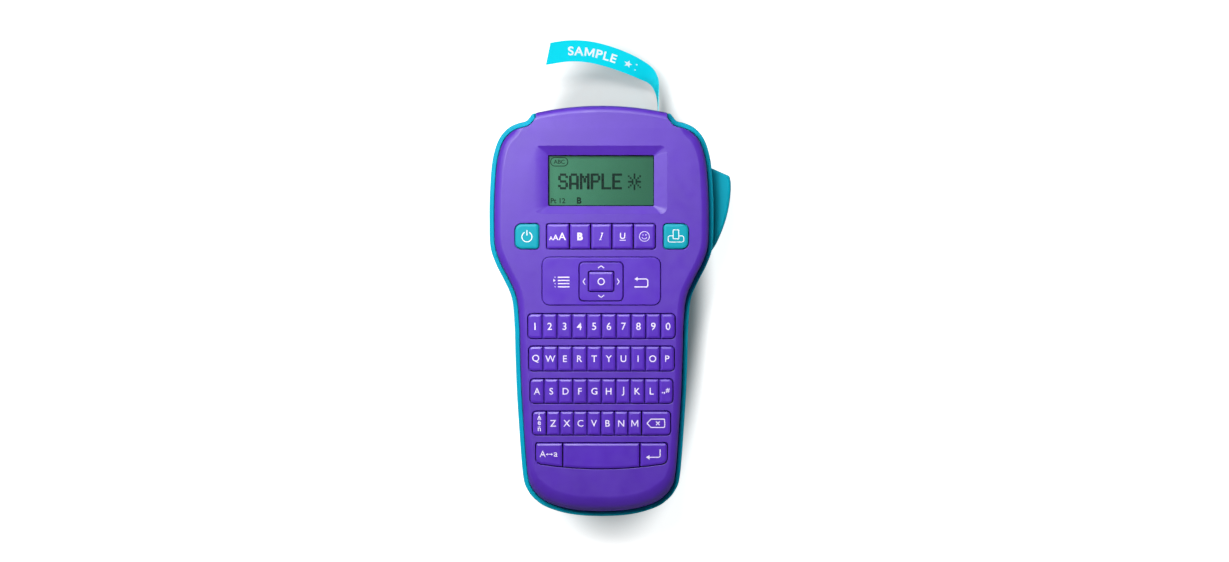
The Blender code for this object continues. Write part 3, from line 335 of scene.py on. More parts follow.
def plastic(name, colour, roughness, grain=0.35, bump=0.12, variation=0.05, wear=0.25, specular=0.5,
            grain_scale=2600.0, metallic=0.0):
    """Moulded finish: fine grain, slow colour drift, patchy gloss and paler edges."""
    material = bpy.data.materials.new(name)
    material.use_nodes = True
    nodes, links = material.node_tree.nodes, material.node_tree.links
    shader = nodes["Principled BSDF"]
    shader.inputs["Specular IOR Level"].default_value = specular
    shader.inputs["Metallic"].default_value = metallic
    place = nodes.new("ShaderNodeTexCoord")

    def noise(scale, detail, rough=0.5):
        node = nodes.new("ShaderNodeTexNoise")
        node.inputs["Scale"].default_value = scale
        node.inputs["Detail"].default_value = detail
        node.inputs["Roughness"].default_value = rough
        links.new(place.outputs["Object"], node.inputs["Vector"])
        return node.outputs["Fac"]

    def remap(value, low, high, start=0.3, end=0.7):
        node = map_range(nodes, start, end, low, high)
        links.new(value, node.inputs["Value"])
        return node.outputs["Result"]

    def mix(blend, fac, first, second):
        node = nodes.new("ShaderNodeMix")
        node.data_type = "RGBA"
        node.blend_type = blend
        for name, value in (("Factor", fac), ("A", first), ("B", second)):
            socket = node.inputs[name]
            if hasattr(value, "is_output"):
                links.new(value, socket)
            elif hasattr(value, "__len__"):
                socket.default_value = (*value, 1.0)
            else:
                socket.default_value = value
        return node.outputs["Result"]

    fine, slow = noise(grain_scale, 3.0, 0.6), noise(55.0, 3.0)
    dark = tuple(c * (1 - variation) for c in colour)
    light = tuple(min(c * (1 + variation) + variation * 0.02, 1.0) for c in colour)
    shade = mix("MIX", remap(slow, 0.0, 1.0), dark, light)
    speck = mix("MIX", remap(fine, 0.0, grain * 0.3), shade, tuple(c * 0.55 for c in colour))
    geometry = nodes.new("ShaderNodeNewGeometry")
    edge = remap(geometry.outputs["Pointiness"], 0.0, wear, 0.52, 0.60)
    scuffed = nodes.new("ShaderNodeMath")
    scuffed.operation = "MULTIPLY"
    links.new(edge, scuffed.inputs[0])
    links.new(remap(noise(420.0, 4.0), 0.2, 1.0), scuffed.inputs[1])
    pale = tuple(min(c * 1.25 + 0.05, 1.0) for c in colour)
    links.new(mix("MIX", scuffed.outputs[0], speck, pale), shader.inputs["Base Color"])
    links.new(remap(noise(180.0, 5.0), roughness - 0.06, roughness + 0.06), shader.inputs["Roughness"])
    relief = nodes.new("ShaderNodeBump")
    relief.inputs["Strength"].default_value = bump
    relief.inputs["Distance"].default_value = 0.0001
    links.new(fine, relief.inputs["Height"])
    links.new(relief.outputs["Normal"], shader.inputs["Normal"])
    return material


VIOLET = plastic("violet_moulded", (0.090, 0.022, 0.455), 0.42, specular=0.62)
VIOLET_KEY = plastic("violet_key", (0.094, 0.024, 0.50), 0.36, grain=0.2, bump=0.06, specular=0.55)
TEAL = plastic("teal_satin", (0.0, 0.37, 0.5), 0.4, grain=0.15, bump=0.05, specular=0.1)
TEAL_KEY = plastic("teal_key", (0.006, 0.35, 0.46), 0.38, grain=0.15, bump=0.05, specular=0.16)
LEGEND = plastic("legend_ink", (0.86, 0.78, 0.98), 0.5, grain=0.1, bump=0.03, wear=0.1)
WHITE_INK = plastic("white_ink", (0.92, 0.96, 0.97), 0.5, grain=0.1, bump=0.03, wear=0.1)
TAPE = plastic("tape_cyan", (0.004, 0.74, 0.86), 0.34, grain=0.0, bump=0.02, variation=0.01, wear=0.0,
               specular=0.2)
NYLON = plastic("white_nylon_moulded", (0.78, 0.78, 0.72), 0.45, grain=0.1)
DARK = plastic("dark_moulded", (0.03, 0.03, 0.034), 0.5, grain=0.3)
# Silicone keypad mat, seen only through the gaps round the keys; its deep violet-black is painted shade for
# those gaps.
GAP_SHADE_SILICONE = plastic("silicone_painted_gap_shade", (0.05, 0.035, 0.09), 0.75, grain=0.3, bump=0.1)
BLACK_RUBBER = plastic("black_rubber_roller", (0.02, 0.02, 0.022), 0.7, grain=0.4, bump=0.15)
RIBBON = plastic("ribbon_film", (0.02, 0.02, 0.028), 0.22, grain=0.1, bump=0.03)
STEEL = plastic("plated_steel", (0.62, 0.62, 0.64), 0.3, grain=0.1, bump=0.04, metallic=1.0)
BOARD = plastic("solder_mask", (0.015, 0.16, 0.06), 0.4, grain=0.2)
CELL = plastic("cell_jacket", (0.045, 0.045, 0.052), 0.3, grain=0.1, bump=0.03, metallic=0.3)
LCD_INK = plastic("lcd_segment", (0.002, 0.018, 0.012), 0.8, grain=0.1, bump=0.02, wear=0.05, specular=0.0)


# ---- housing shells

RIM_LINE = smooth(SIDE + NOTCH + HORN)
PLAIN_LINE = smooth(SIDE[:-1] + PLAIN_TOP)
NOTCH_END = STEPS * (len(SIDE + NOTCH) - 1)
SIDE_END = STEPS * (len(SIDE) - 1)


def shoulder_width(y):
    """Width of the cover's sloping edge: broader round the chin, narrower at the crest."""
    chin = min(max((26 - y) / 18, 0.0), 1.0)
    crest = min(max((y - 190) / 10, 0.0), 1.0)
    return (SHOULDER_SIDE + (SHOULDER_CHIN - SHOULDER_SIDE) * chin * chin * (3 - 2 * chin)
            + (SHOULDER_CREST - SHOULDER_SIDE) * crest * crest * (3 - 2 * crest))


def crown(wall, low):
    """Cover solid before its corners are notched, or the hollow inside it."""
    side = inset(RIM_LINE[:SIDE_END + 1], RIM_WIDTH + COVER_GAP)
    corner_x, corner_y = TONGUE_CORNER
    rise = TONGUE_TOP - corner_y
    radius = (corner_x ** 2 + rise ** 2) / (2 * rise)
    arc = [(x, TONGUE_TOP - radius + math.sqrt(radius ** 2 - x ** 2)) for x in np.linspace(corner_x, 0, 17)]
    corner = smooth([side[-STEPS - 1], side[-1], CROWN_CORNER, arc[0], arc[4]])[STEPS + 1:-STEPS - 1]
    line = np.array(side + corner + arc)
    widths = np.array([shoulder_width(y) for _, y in line])
    unit = np.array(inset(line, 1.0)) - line
    unit[-1] = (0, -1)
    rings = [(wall, np.full(len(line), low))]
    rings += [(wall + share * (widths - 1.2 * wall), -wall - drop * (widths - 0.5 * wall))
              for share, drop in SHOULDER]
    loops = []
    for offset, heights in rings:
        right = line + unit * np.reshape(offset * np.ones(len(line)), (-1, 1))
        ring = [(x, along_face(y, COVER_LOW / 2), z) for (x, y), z in zip(right, heights)]
        loops.append(ring + [(-x, y, z) for x, y, z in reversed(ring[1:-1])])
    return loops


def face_points(points, depth=0.0):
    return [(x, along_face(y, depth)) for x, y in points]


def flared(outline, low=-12.0, flare=0.3):
    """Slot cutter whose mouth opens out in a small rounded edge and passes the face at a slant."""
    profile = [(0, low)] + [(-flare * out, -flare * drop) for out, drop in MOUTH]
    profile += [(-PAST_MOUTH * flare, CLEAR), (-PAST_MOUTH * flare, ABOVE_FACE)]
    return cutter(stack(outline, profile), FACE_FRAME)


def row_outline(nodes, radii, gap=SLOT_GAP):
    """Outline of the slot that a row of keys sits in, from the keys' own extents."""
    areas = [cap_area(node)[0] for node in nodes]
    lefts, lows, rights, highs = zip(*areas)
    return fillet(box_corners((min(lefts), min(lows), max(rights), max(highs)), gap), radii)


SPACE_AREAS = [cap_area(node)[0] for node in SPACE_ROW]
SPACE_LOW, SPACE_TOP = SPACE_AREAS[1][1], SPACE_AREAS[1][3]
SPACE_REACH, SPACE_SAG = SPACE_AREAS[2][2], 2.75


def sagging(left, right, grow, radii):
    """Key of the lowest row, whose lower edge follows one shallow arc between its two rounded corners."""
    low_left, low_right = radii
    xs = [left - grow, *np.linspace(left - grow + 1.3 * low_left, right + grow - 1.3 * low_right, 11),
          right + grow]
    edge = [(x, SPACE_LOW + SPACE_SAG * (min(abs(x), SPACE_REACH) / SPACE_REACH) ** 2 - grow) for x in xs]
    corners = edge + [(right + grow, SPACE_TOP + grow), (left - grow, SPACE_TOP + grow)]
    upper_left, upper_right = (1.2 if low > 1 else 0.3 for low in radii)
    sizes = [low_left] + [0] * (len(edge) - 2) + [low_right, upper_right, upper_left]
    return fillet(corners, [max(size + min(grow, 0), 0.04) if size else 0 for size in sizes])


def cover_hollow():
    """Inside of the cover: solid stays in its two upper corners and round the display."""
    hollow = cutter(crown(COVER_WALL, COVER_LOW - 2), FACE_FRAME)
    left, low, right, high = RECESS
    keep = [block((sign * 45 - 15, 187, -30), (sign * 45 + 15, 215, 5), FACE_FRAME) for sign in (-1, 1)]
    keep.append(block((left - RECESS_WALL, low - RECESS_WALL, RECESS_FLOOR),
                      (right + RECESS_WALL, high + RECESS_WALL, 0), FACE_FRAME))
    carve(hollow, "DIFFERENCE", *keep)
    return hollow


def notches():
    """Cutters for the two upper corners, where the housing's bead shows beside the tongue."""
    edge = inset(RIM_LINE[:NOTCH_END + 1], RIM_WIDTH + COVER_GAP - CLEAR / 2)
    edge = [point for point in edge if point[1] > NOTCH_START]
    corner_x, corner_y = TONGUE_CORNER
    far_x, far_y = NOTCH_FAR
    outline = edge + [(corner_x, corner_y - 2), (corner_x, far_y), (far_x, far_y), (far_x, edge[0][1] - 0.5)]
    outline = face_points(outline, COVER_LOW / 2)
    return [cutter(prism([(sign * x, y) for x, y in outline], -20, 5), FACE_FRAME) for sign in (-1, 1)]


def display_recess():
    """Cutter with the display's opening and the four slopes that lead down to it."""
    outer = fillet(face_points(box_corners(RECESS)), 3.6, 8)
    inner = fillet(box_corners(window_area()), 0.5, 8)
    past = CLEAR / RECESS_DEPTH
    rim = [(a + (a - c) * past, b + (b - d) * past) for (a, b), (c, d) in zip(outer, inner)]
    return cutter(prism(inner, -8.0, -RECESS_DEPTH) + prism(rim, CLEAR, ABOVE_FACE), FACE_FRAME)


def cover():
    """Front shell with the notches beside its tongue, the display's recess and the key slots."""
    piece = solid("cover", crown(0.0, COVER_LOW), FACE_FRAME)
    hollow, corners, recess = cover_hollow(), notches(), display_recess()
    slots = [
        flared(row_outline(("key_power",), (3.6, 2.0, 2.0, 3.6))),
        flared(row_outline(("key_print",), (2.0, 3.6, 3.6, 2.0))),
        flared(row_outline(FORMAT_KEYS, 1.5)),
        flared(row_outline(("menu_back_rocker",), 4.0, 0.28), flare=0.2),
    ]
    for row in (("row_digits",), ("row_qwerty",), ("row_asdf",), ("key_accent", "row_zxcv", "key_backspace")):
        slots.append(flared(row_outline(row, ROW_CORNER + SLOT_GAP)))
    low_corner = LOW_CORNER + SLOT_GAP
    slots.append(flared(sagging(SPACE_AREAS[0][0], SPACE_REACH, SLOT_GAP, (low_corner, low_corner))))
    carve(piece, "DIFFERENCE", hollow, *corners, recess, *slots)
    apply_all(piece, SHARP_COVER)
    return settle(piece, "housing", VIOLET, "violet_plastic", "front_cover")


def window_area():
    (left, low, right, high), _ = cap_area("display_window", BELOW_WINDOW)
    return left - GAP, low - GAP, right + GAP, high + GAP


def tub(extra, low, high, radius, steps=7):
    """Lower shell: flat back and a rounded lower edge."""
    line = inset(PLAIN_LINE, TUB_INSET + extra)
    line[0], line[-1] = (0.0, line[0][1]), (0.0, line[-1][1])
    rings = []
    for k in range(steps + 1):
        angle = math.pi / 2 * k / steps
        edge = inset(line, radius * (1 - math.sin(angle)))
        edge[0], edge[-1] = (0.0, edge[0][1]), (0.0, edge[-1][1])
        rings.append([(x, y, low + radius * (1 - math.cos(angle))) for x, y in closed(edge)])
    rings.append([(x, y, high) for x, y in closed(line)])
    return rings


def housing():
    """Rear shell: tub, bead round the cover, screw bosses, cell bay and all its openings."""
    piece = solid("housing_shell", tub(0, 0, TUB_TOP, TUB_ROUND))
    carve(piece, "DIFFERENCE", block((-80, -20, RIM_LOW + 2), (80, 230, 60), FACE_FRAME))
    outline = face_points(closed(RIM_LINE), RIM_HIGH)
    lower = [(inwards, RIM_LOW - drop) for inwards, drop in reversed(rounding(0.8, 3))]
    upper = [(inwards, RIM_HIGH + drop) for inwards, drop in rounding(0.6, 4)]
    carve(piece, "UNION", cutter(stack(outline, lower + upper), FACE_FRAME))
    cavity = cutter(tub(TUB_WALL, TUB_WALL, 60, TUB_ROUND - TUB_WALL + 1))
    walls = [block((-60, BAY_LOW, BAY_TOP - BAY_WALL), (60, BAY_HIGH, BAY_TOP)),
             block((-60, BAY_LOW, BAY_FLOOR), (60, BAY_LOW + BAY_WALL, BAY_TOP)),
             block((-60, BAY_HIGH - BAY_WALL, BAY_FLOOR), (60, BAY_HIGH, BAY_TOP))]
    bosses = [rod(spot, BOSS_RADIUS, 0, FACE_LOW + spot[1] * math.tan(TILT) - BOSS_DROP) for spot in SCREWS]
    carve(cavity, "DIFFERENCE", *walls, *bosses)
    seat = inset(RIM_LINE[:NOTCH_END + 1], RIM_WIDTH)
    half = TONGUE_CORNER[0] + TONGUE_GAP
    seat = [point for point in seat if point[0] > half or point[1] < 100]
    seat += [(half, seat[-1][1] + 0.8), (half, 212), (0, 212)]
    mouth = [(0, SEAT), (0, RIM_HIGH - 0.6), (-0.08, RIM_HIGH - 0.3), (-0.25, RIM_HIGH - 0.1),
             (-0.6, RIM_HIGH), (-0.6, 5.0)]
    tools = [cavity, cutter(stack(face_points(closed(seat), RIM_HIGH), mouth), FACE_FRAME)]
    for area in (CASSETTE_OPENING, BATTERY_OPENING):
        tools.append(cutter(stack(fillet(box_corners(area), OPENING_CORNER, 6), OPENING_EDGE)))
    tools += [block(*LEVER_WINDOW),
              block((TAPE_X - TAPE_ROOM, 184, TAPE_LOW - 1), (TAPE_X + TAPE_ROOM, 215, TAPE_HIGH + 1))]
    for spot in SCREWS:
        sink = [(-0.3, -5), (-0.3, 0), (0, 0.3), (0, SCREW_SEAT)]
        tools += [cutter(stack(circle(spot, SCREW_HEAD), sink)), rod(spot, SCREW_HOLE, 0, 50)]
    carve(piece, "DIFFERENCE", *tools)
    apply_all(piece)
    return settle(piece, "housing", TEAL, "teal_plastic", "rear_housing")


def door(name, area):
    """Skin of the tub inside a hatch, a little recessed, with a finger grip near its latch."""
    panel = solid(name + "_panel", tub(0, 0, 20, TUB_ROUND))
    left, _, right, high = area
    keep = fillet(box_corners(area, -GAP), OPENING_CORNER - GAP, 6)
    inner = cutter(tub(TUB_WALL, TUB_WALL, 25, TUB_ROUND - TUB_WALL + 1))
    carve(panel, "DIFFERENCE", inner)
    carve(panel, "INTERSECT", cutter(stack(keep, [(0.3, DOOR_RECESS), (0.1, DOOR_RECESS + 0.1),
                                                  (0, DOOR_RECESS + 0.3), (0, 7.5)])))
    middle, top = (left + right) / 2, high - 6
    for number in range(GRIP_GROOVES):
        y = top - number * GRIP_PITCH
        strip = (middle - GRIP_HALF, y - 0.5, middle + GRIP_HALF, y + 0.5)
        groove = fillet(box_corners(strip), GRIP_ROUND, 4)
        depth = [(0, -1), (0, DOOR_RECESS + 0.2), (0.3, DOOR_RECESS + 0.7)]
        carve(panel, "DIFFERENCE", cutter(stack(groove, depth)))
    apply_all(panel)
    return settle(panel, name, TEAL, "teal_plastic", name)


# ---- key caps

CAP_EDGE = ((0.0, -0.58), (0.05, -0.44), (0.15, -0.33), (0.3, -0.25), (0.95, -0.03), (1.25, 0.0))


def cap_rings(outline, top, low=-2.4, slim=0.07):
    """Key cap: straight sides, then a rounded and bevelled edge; outline(inset) is its loop."""
    profile = [(slim, low)] + [(slim + inwards, top + drop) for inwards, drop in CAP_EDGE]
    return [[(x, y, z) for x, y in outline(distance)] for distance, z in profile]


def rounded_box(area, radii):
    """Function that gives a rounded rectangle's loop at any inset."""
    if not hasattr(radii, "__len__"):
        radii = [radii] * 4
    return lambda inwards: fillet(box_corners(area, -inwards), [max(r - inwards, 0.04) for r in radii], 4)


def skirt_rings(node):
    """The wider foot that holds a key under the cover."""
    points = face_vertices(node)
    base = points[points[:, 2] < SKIRT_TOP]
    (left, low, bottom), (right, high, top) = base.min(0), base.max(0)
    return slab(box_corners((left, low, right, high)), bottom, top, 0.1)


def key(node, outline=None, radii=0.7, material=VIOLET_KEY, slot="violet_plastic"):
    area, top = cap_area(node)
    work = bmesh.new()
    add_loft(work, cap_rings(outline or rounded_box(area, radii), top))
    add_loft(work, skirt_rings(node))
    return settle(new_mesh(node + "_cap", work, FACE_FRAME), node, material, slot, node)


def key_row(node, count, corner, gap=0.5):
    """Row of letter keys on one base, with rounder outer corners; gives the caps' middles and top."""
    (left, low, right, high), top = cap_area(node)
    pitch = (right - left + gap) / count
    work = bmesh.new()
    spots = []
    for number in range(count):
        start = left + number * pitch
        first, last = (corner if number == end else INNER_CORNER for end in (0, count - 1))
        cap = rounded_box((start, low, start + pitch - gap, high), (first, last, last, first))
        add_loft(work, cap_rings(cap, top))
        spots.append((start + (pitch - gap) / 2, (low + high) / 2))
    add_loft(work, skirt_rings(node))
    settle(new_mesh(node + "_caps", work, FACE_FRAME), node, VIOLET_KEY, "violet_plastic", node)
    return spots, top


# ---- legends

CAPITAL = 7.0
INK_HALF = 0.02


def mesh_of(curve):
    """Mesh that a text or curve makes."""
    holder = bpy.data.objects.new("curve", curve)
    bpy.context.scene.collection.objects.link(holder)
    bpy.context.view_layer.update()
    mesh = bpy.data.meshes.new_from_object(holder.evaluated_get(bpy.context.evaluated_depsgraph_get()))
    bpy.data.objects.remove(holder, do_unlink=True)
    return mesh


def glyphs(body, height, bold=0.0, shear=0.0):
    """Outline letters as a flat mesh, centred on its own middle, in millimetres."""
    curve = bpy.data.curves.new("glyphs", "FONT")
    curve.body = body
    curve.size = 10.0
    curve.shear = shear
    curve.offset = bold
    curve.extrude = INK_HALF
    curve.resolution_u = 4
    mesh = mesh_of(curve)
    points = np.array([v.co for v in mesh.vertices])
    centre = (points.min(0) + points.max(0)) / 2
    scale = height / CAPITAL
    for vertex, (x, y, z) in zip(mesh.vertices, points):
        vertex.co = ((x - centre[0]) * scale, (y - centre[1]) * scale, z)
    return mesh


def stroke(points, width, cyclic=False):
    """Line of even width through points, as a slim flattened tube, in millimetres."""
    curve = bpy.data.curves.new("stroke", "CURVE")
    curve.dimensions = "3D"
    curve.bevel_depth = width / 2
    curve.bevel_resolution = 2
    curve.use_fill_caps = True
    spline = curve.splines.new("POLY")
    spline.points.add(len(points) - 1)
    for point, (x, y) in zip(spline.points, points):
        point.co = (x, y, 0, 1)
    spline.use_cyclic_u = cyclic
    mesh = mesh_of(curve)
    mesh.transform(Matrix.Diagonal((1, 1, 2 * INK_HALF / width, 1)))
    return mesh


def arc(centre, radius, start, end, steps=24):
    angles = np.radians(np.linspace(start, end, steps + 1))
    return [(centre[0] + radius * math.cos(a), centre[1] + radius * math.sin(a)) for a in angles]


def ring(centre, radius, width):
    steps = 28
    return stroke(arc(centre, radius, 0, 360 - 360 / steps, steps - 1), width, True)


def filled(points):
    """Small solid shape such as an arrow head."""
    work = bmesh.new()
    lower, upper = [[work.verts.new((x, y, z)) for x, y in points] for z in (-INK_HALF, INK_HALF)]
    work.faces.new(list(reversed(lower)))
    work.faces.new(upper)
    for k in range(len(points)):
        work.faces.new((lower[k - 1], lower[k], upper[k], upper[k - 1]))
    mesh = bpy.data.meshes.new("shape")
    work.to_mesh(mesh)
    work.free()
    return mesh


def moved(mesh, x, y):
    mesh.transform(Matrix.Translation((x, y, 0)))
    return mesh


def joined(marks):
    work = bmesh.new()
    for mesh in marks:
        work.from_mesh(mesh)
    return work


def legend(name, body, marks, height, material=LEGEND, slot="violet_plastic"):
    """Printed marks on a key, lying on its face; one piece for each body."""
    work = joined(marks)
    for vertex in work.verts:
        vertex.co = Vector((vertex.co.x, vertex.co.y, vertex.co.z + height + INK_HALF)) * MM
    return settle(new_mesh(name, work, FACE_FRAME), body, material, slot)


def text(body, height, x, y, **style):
    return moved(glyphs(body, height, **style), x, y)


def letter(character, height, x, y, bold=0.07):
    """One capital; thickening folds the font's M at its sharp corners, so it is drawn here instead."""
    if character != "M":
        return text(character, height, x, y, bold=bold)
    half, top, width = 0.52 * height, 0.5 * height, (0.1 + 0.4 * bold) * height
    valley, shoulder = -0.35 * top, 1.15 * width
    right = [(0, valley), (half - shoulder, top), (half, top), (half, -top), (half - width, -top),
             (half - width, top - 2.2 * width), (0, valley - 1.7 * width)]
    return moved(filled(right + [(-a, b) for a, b in reversed(right[1:-1])]), x, y)


def line_of(points, width, x=0, y=0, cyclic=False):
    return moved(stroke(points, width, cyclic), x, y)


def letter_rows():
    rows = (("row_digits", "digits_print", 10, ROW_CORNER, "1234567890", 3.6),
            ("row_qwerty", "qwerty_print", 10, ROW_CORNER, "QWERTYUIOP", 3.3),
            ("row_asdf", "asdf_print", 10, ROW_CORNER, "ASDFGHJKL", 3.3),
            ("row_zxcv", "zxcv_print", 7, INNER_CORNER, "ZXCVBNM", 3.3))
    for node, name, count, corner, characters, height in rows:
        spots, top = key_row(node, count, corner)
        marks = [letter(character, height, x, y) for character, (x, y) in zip(characters, spots)]
        if len(characters) < count:
            x, y = spots[-1]
            marks += [text(".,", 3.0, x - 1.3, y - 0.9, bold=0.2),
                      text("#", 2.3, x + 0.9, y + 0.4, bold=0.14)]
        legend(name, node, marks, top)


def single_key(node, radii, marks, material=VIOLET_KEY, slot="violet_plastic", ink=LEGEND):
    """Key with one cap; its marks are drawn about the middle of the cap."""
    key(node, radii=radii, material=material, slot=slot)
    (left, low, right, high), top = cap_area(node)
    x, y = (left + right) / 2, (low + high) / 2
    legend(node + "_print", node, [moved(mark, x, y) for mark in marks], top, ink)


def ends_of_short_row():
    accent = [text("A", 2.0, 0, 2.9, bold=0.2), text("e", 2.6, 0, 0.1, bold=0.2),
              text("n", 2.6, 0, -3.0, bold=0.2), line_of([(-0.3, 4.4), (0.4, 4.9)], 0.25),
              line_of([(-0.6, 1.6), (0, 1.9), (0.6, 1.6)], 0.25),
              line_of([(-0.6, -1.7), (-0.2, -1.5), (0.2, -1.7), (0.6, -1.5)], 0.25)]
    single_key("key_accent", (ROW_CORNER, INNER_CORNER, INNER_CORNER, ROW_CORNER), accent)
    shape = [(-4.6, 0), (-2.6, -2.1), (4.2, -2.1), (4.2, 2.1), (-2.6, 2.1)]
    erase = [line_of(fillet(shape, (0.2, 0.4, 0.5, 0.5, 0.4), 3), 0.5, cyclic=True),
             line_of([(-0.1, -0.9), (1.7, 0.9)], 0.45), line_of([(-0.1, 0.9), (1.7, -0.9)], 0.45)]
    single_key("key_backspace", (INNER_CORNER, ROW_CORNER, ROW_CORNER, INNER_CORNER), erase)


def teal_keys():
    power = [line_of(arc((0, -0.2), 2.5, 118, 422, 40), 0.42), line_of([(0, 0.5), (0, 3.2)], 0.42)]
    single_key("key_power", (3.2, 1.6, 1.6, 3.2), power, TEAL_KEY, "key_teal", WHITE_INK)
    right = [(3.3, -2.8), (3.9, -2.2), (3.9, -0.3), (3.2, 0.3), (1.6, 0.3)]
    printer = [line_of(fillet(box_corners((-1.4, -1.2, 1.4, 3.3)), 0.25, 3), 0.38, cyclic=True),
               line_of([(-x, y) for x, y in reversed(right)] + right, 0.38)]
    single_key("key_print", (1.6, 3.2, 3.2, 1.6), printer, TEAL_KEY, "key_teal", WHITE_INK)


def format_keys():
    end = 1.2
    sizes = [text("A", 1.9, -3.4, -0.85, bold=0.2), text("A", 2.7, -1.1, -0.45, bold=0.16),
             text("A", 3.7, 2.2, 0.05, bold=0.12)]
    italic = [text("I", 3.5, 0, 0, shear=0.35), line_of([(-1.1, -1.7), (0.1, -1.7)], 0.3),
              line_of([(-0.1, 1.7), (1.1, 1.7)], 0.3)]
    underline = [text("U", 3.0, 0, 0.3, bold=0.12), line_of([(-1.5, -1.9), (1.5, -1.9)], 0.35)]
    smile = [ring((0, 0), 2.45, 0.28), *[filled(circle((x, 0.75), 0.28, 10)) for x in (-0.75, 0.75)],
             line_of(arc((0, 0.1), 1.35, 205, 335, 16), 0.26)]
    single_key("key_size", (end, INNER_CORNER, INNER_CORNER, end), sizes)
    single_key("key_bold", INNER_CORNER, [text("B", 3.5, 0, 0, bold=0.5)])
    single_key("key_italic", INNER_CORNER, italic)
    single_key("key_underline", INNER_CORNER, underline)
    single_key("key_symbols", (INNER_CORNER, end, end, INNER_CORNER), smile)


def space_row():
    corners = ((LOW_CORNER, 0.3), (0.3, 0.3), (0.3, LOW_CORNER))
    for node, (left, _, right, _), radii in zip(SPACE_ROW, SPACE_AREAS, corners):
        key(node, outline=lambda inwards: sagging(left, right, -inwards, radii))
    (left, _, right, _), top = cap_area("key_case")
    x, y = (left + right) / 2, SPACE_TOP - 5.3
    legend("key_case_print", "key_case", [
        text("A", 3.1, x - 3.2, y), text("a", 3.4, x + 3.3, y - 0.35),
        line_of([(-1.0, 0), (1.3, 0)], 0.35, x, y - 0.2),
        filled([(x - 1.7, y - 0.2), (x - 0.8, y - 0.75), (x - 0.8, y + 0.35)]),
        filled([(x + 2.0, y - 0.2), (x + 1.1, y + 0.35), (x + 1.1, y - 0.75)])], top)
    (left, _, right, _), top = cap_area("key_return")
    x, y = (left + right) / 2, SPACE_TOP - 5.6
    legend("key_return_print", "key_return", [
        line_of([(3.2, 2.6), (3.2, -0.9), (2.6, -1.4), (-2.6, -1.4)], 0.5, x, y),
        filled([(x - 3.9, y - 1.4), (x - 2.1, y - 2.5), (x - 2.1, y - 0.3)])], top)


def keyboard():
    letter_rows()
    ends_of_short_row()
    teal_keys()
    format_keys()
    space_row()


def nav_plate(name, area, corner, edge, hole, hole_corner, top):
    """Flat plate with rounded edges round a hole for the next smaller key."""
    piece = solid(name, stack(fillet(box_corners(area), corner, 8), [(0, -2.0)] + [
        (inwards, top + drop) for inwards, drop in rounding(edge)]), FACE_FRAME)
    carve(piece, "DIFFERENCE", flared(fillet(box_corners(hole, SLOT_GAP), hole_corner, 6), -5, 0.25))
    piece.modifiers[0].object.location = FACE_FRAME.to_3x3() @ Vector((0, 0, top * MM))
    return apply_all(piece)


def nav_cluster():
    area, top = cap_area("menu_back_rocker")
    ring_area, pad_top = cap_area("nav_pad")
    ok_area, ok_top = cap_area("key_ok")
    panel = nav_plate("rocker_panel", area, 3.6, 0.4, ring_area, 2.4, top)
    settle(panel, "menu_back_rocker", VIOLET_KEY, "violet_plastic", "menu_back_rocker")
    middle_x, middle_y = (ring_area[0] + ring_area[2]) / 2, (ring_area[1] + ring_area[3]) / 2
    x, y = (area[0] + ring_area[0]) / 2 + 0.4, middle_y - 0.2
    marks = []
    for number in range(4):
        step = 2.35 - 1.6 * number
        marks += [line_of([(-1.9, step), (3.9, step)], 0.55, x, y),
                  line_of([(-3.5, step), (-3.1, step)], 0.5, x, y)]
    marks.append(filled([(x - 4.1, y + 0.1), (x - 3.0, y + 0.75), (x - 4.1, y + 1.4)]))
    x = (area[2] + ring_area[2]) / 2 - 0.2
    hook = [(-2.6, 1.5), (2.6, 1.5), (3.3, 0.9), (3.3, -1.9), (2.7, -2.5), (-3.4, -2.5)]
    marks += [line_of(hook, 0.55, x, y), filled([(x - 3.3, y + 1.5), (x - 1.8, y + 0.5), (x - 1.8, y + 2.5)])]
    legend("rocker_print", "menu_back_rocker", marks, top)

    pad = nav_plate("nav_ring", ring_area, 2.0, 0.45, ok_area, 1.2, pad_top)
    settle(pad, "nav_pad", VIOLET_KEY, "violet_plastic", "nav_pad")
    across, up, wing = (ring_area[2] - ring_area[0]) / 2 - 2.2, (ring_area[3] - ring_area[1]) / 2 - 2.1, 1.5
    upward = [(-wing, up - 0.7), (0, up + 0.4), (wing, up - 0.7)]
    rightward = [(across - 0.6, -wing), (across + 0.4, 0), (across - 0.6, wing)]
    arrows = [upward, [(x, -y) for x, y in upward], rightward, [(-x, y) for x, y in rightward]]
    legend("nav_print", "nav_pad", [line_of(arrow, 0.5, middle_x, middle_y) for arrow in arrows], pad_top)

    key("key_ok", radii=1.0)
    x, y = (ok_area[0] + ok_area[2]) / 2, (ok_area[1] + ok_area[3]) / 2
    legend("key_ok_print", "key_ok", [ring((x, y), 1.55, 0.5)], ok_top)


# ---- display

DOTS = {
    "S": "01110 10001 10000 01110 00001 10001 01110", "A": "01110 10001 10001 10001 11111 10001 10001",
    "M": "10001 11011 10101 10101 10001 10001 10001", "P": "11110 10001 10001 11110 10000 10000 10000",
    "L": "10000 10000 10000 10000 10000 10000 11111", "E": "11111 10000 10000 11110 10000 10000 11111",
    "*": "0001000 1001001 0101010 0010100 1110111 0010100 0101010 1001001 0001000",
}


def dot_bars(character, x, top, pitch_x, pitch_y, grow):
    """Bars for the runs of dots in each row of a character, a little wider than the dots."""
    bars = []
    for row, bits in enumerate(DOTS[character].split()):
        high = top - row * pitch_y
        for run in re.finditer("1+", bits):
            a, b = x + run.start() * pitch_x - grow, x + run.end() * pitch_x + grow
            bars.append(filled(box_corners((a, high - pitch_y, b, high))))
    return bars


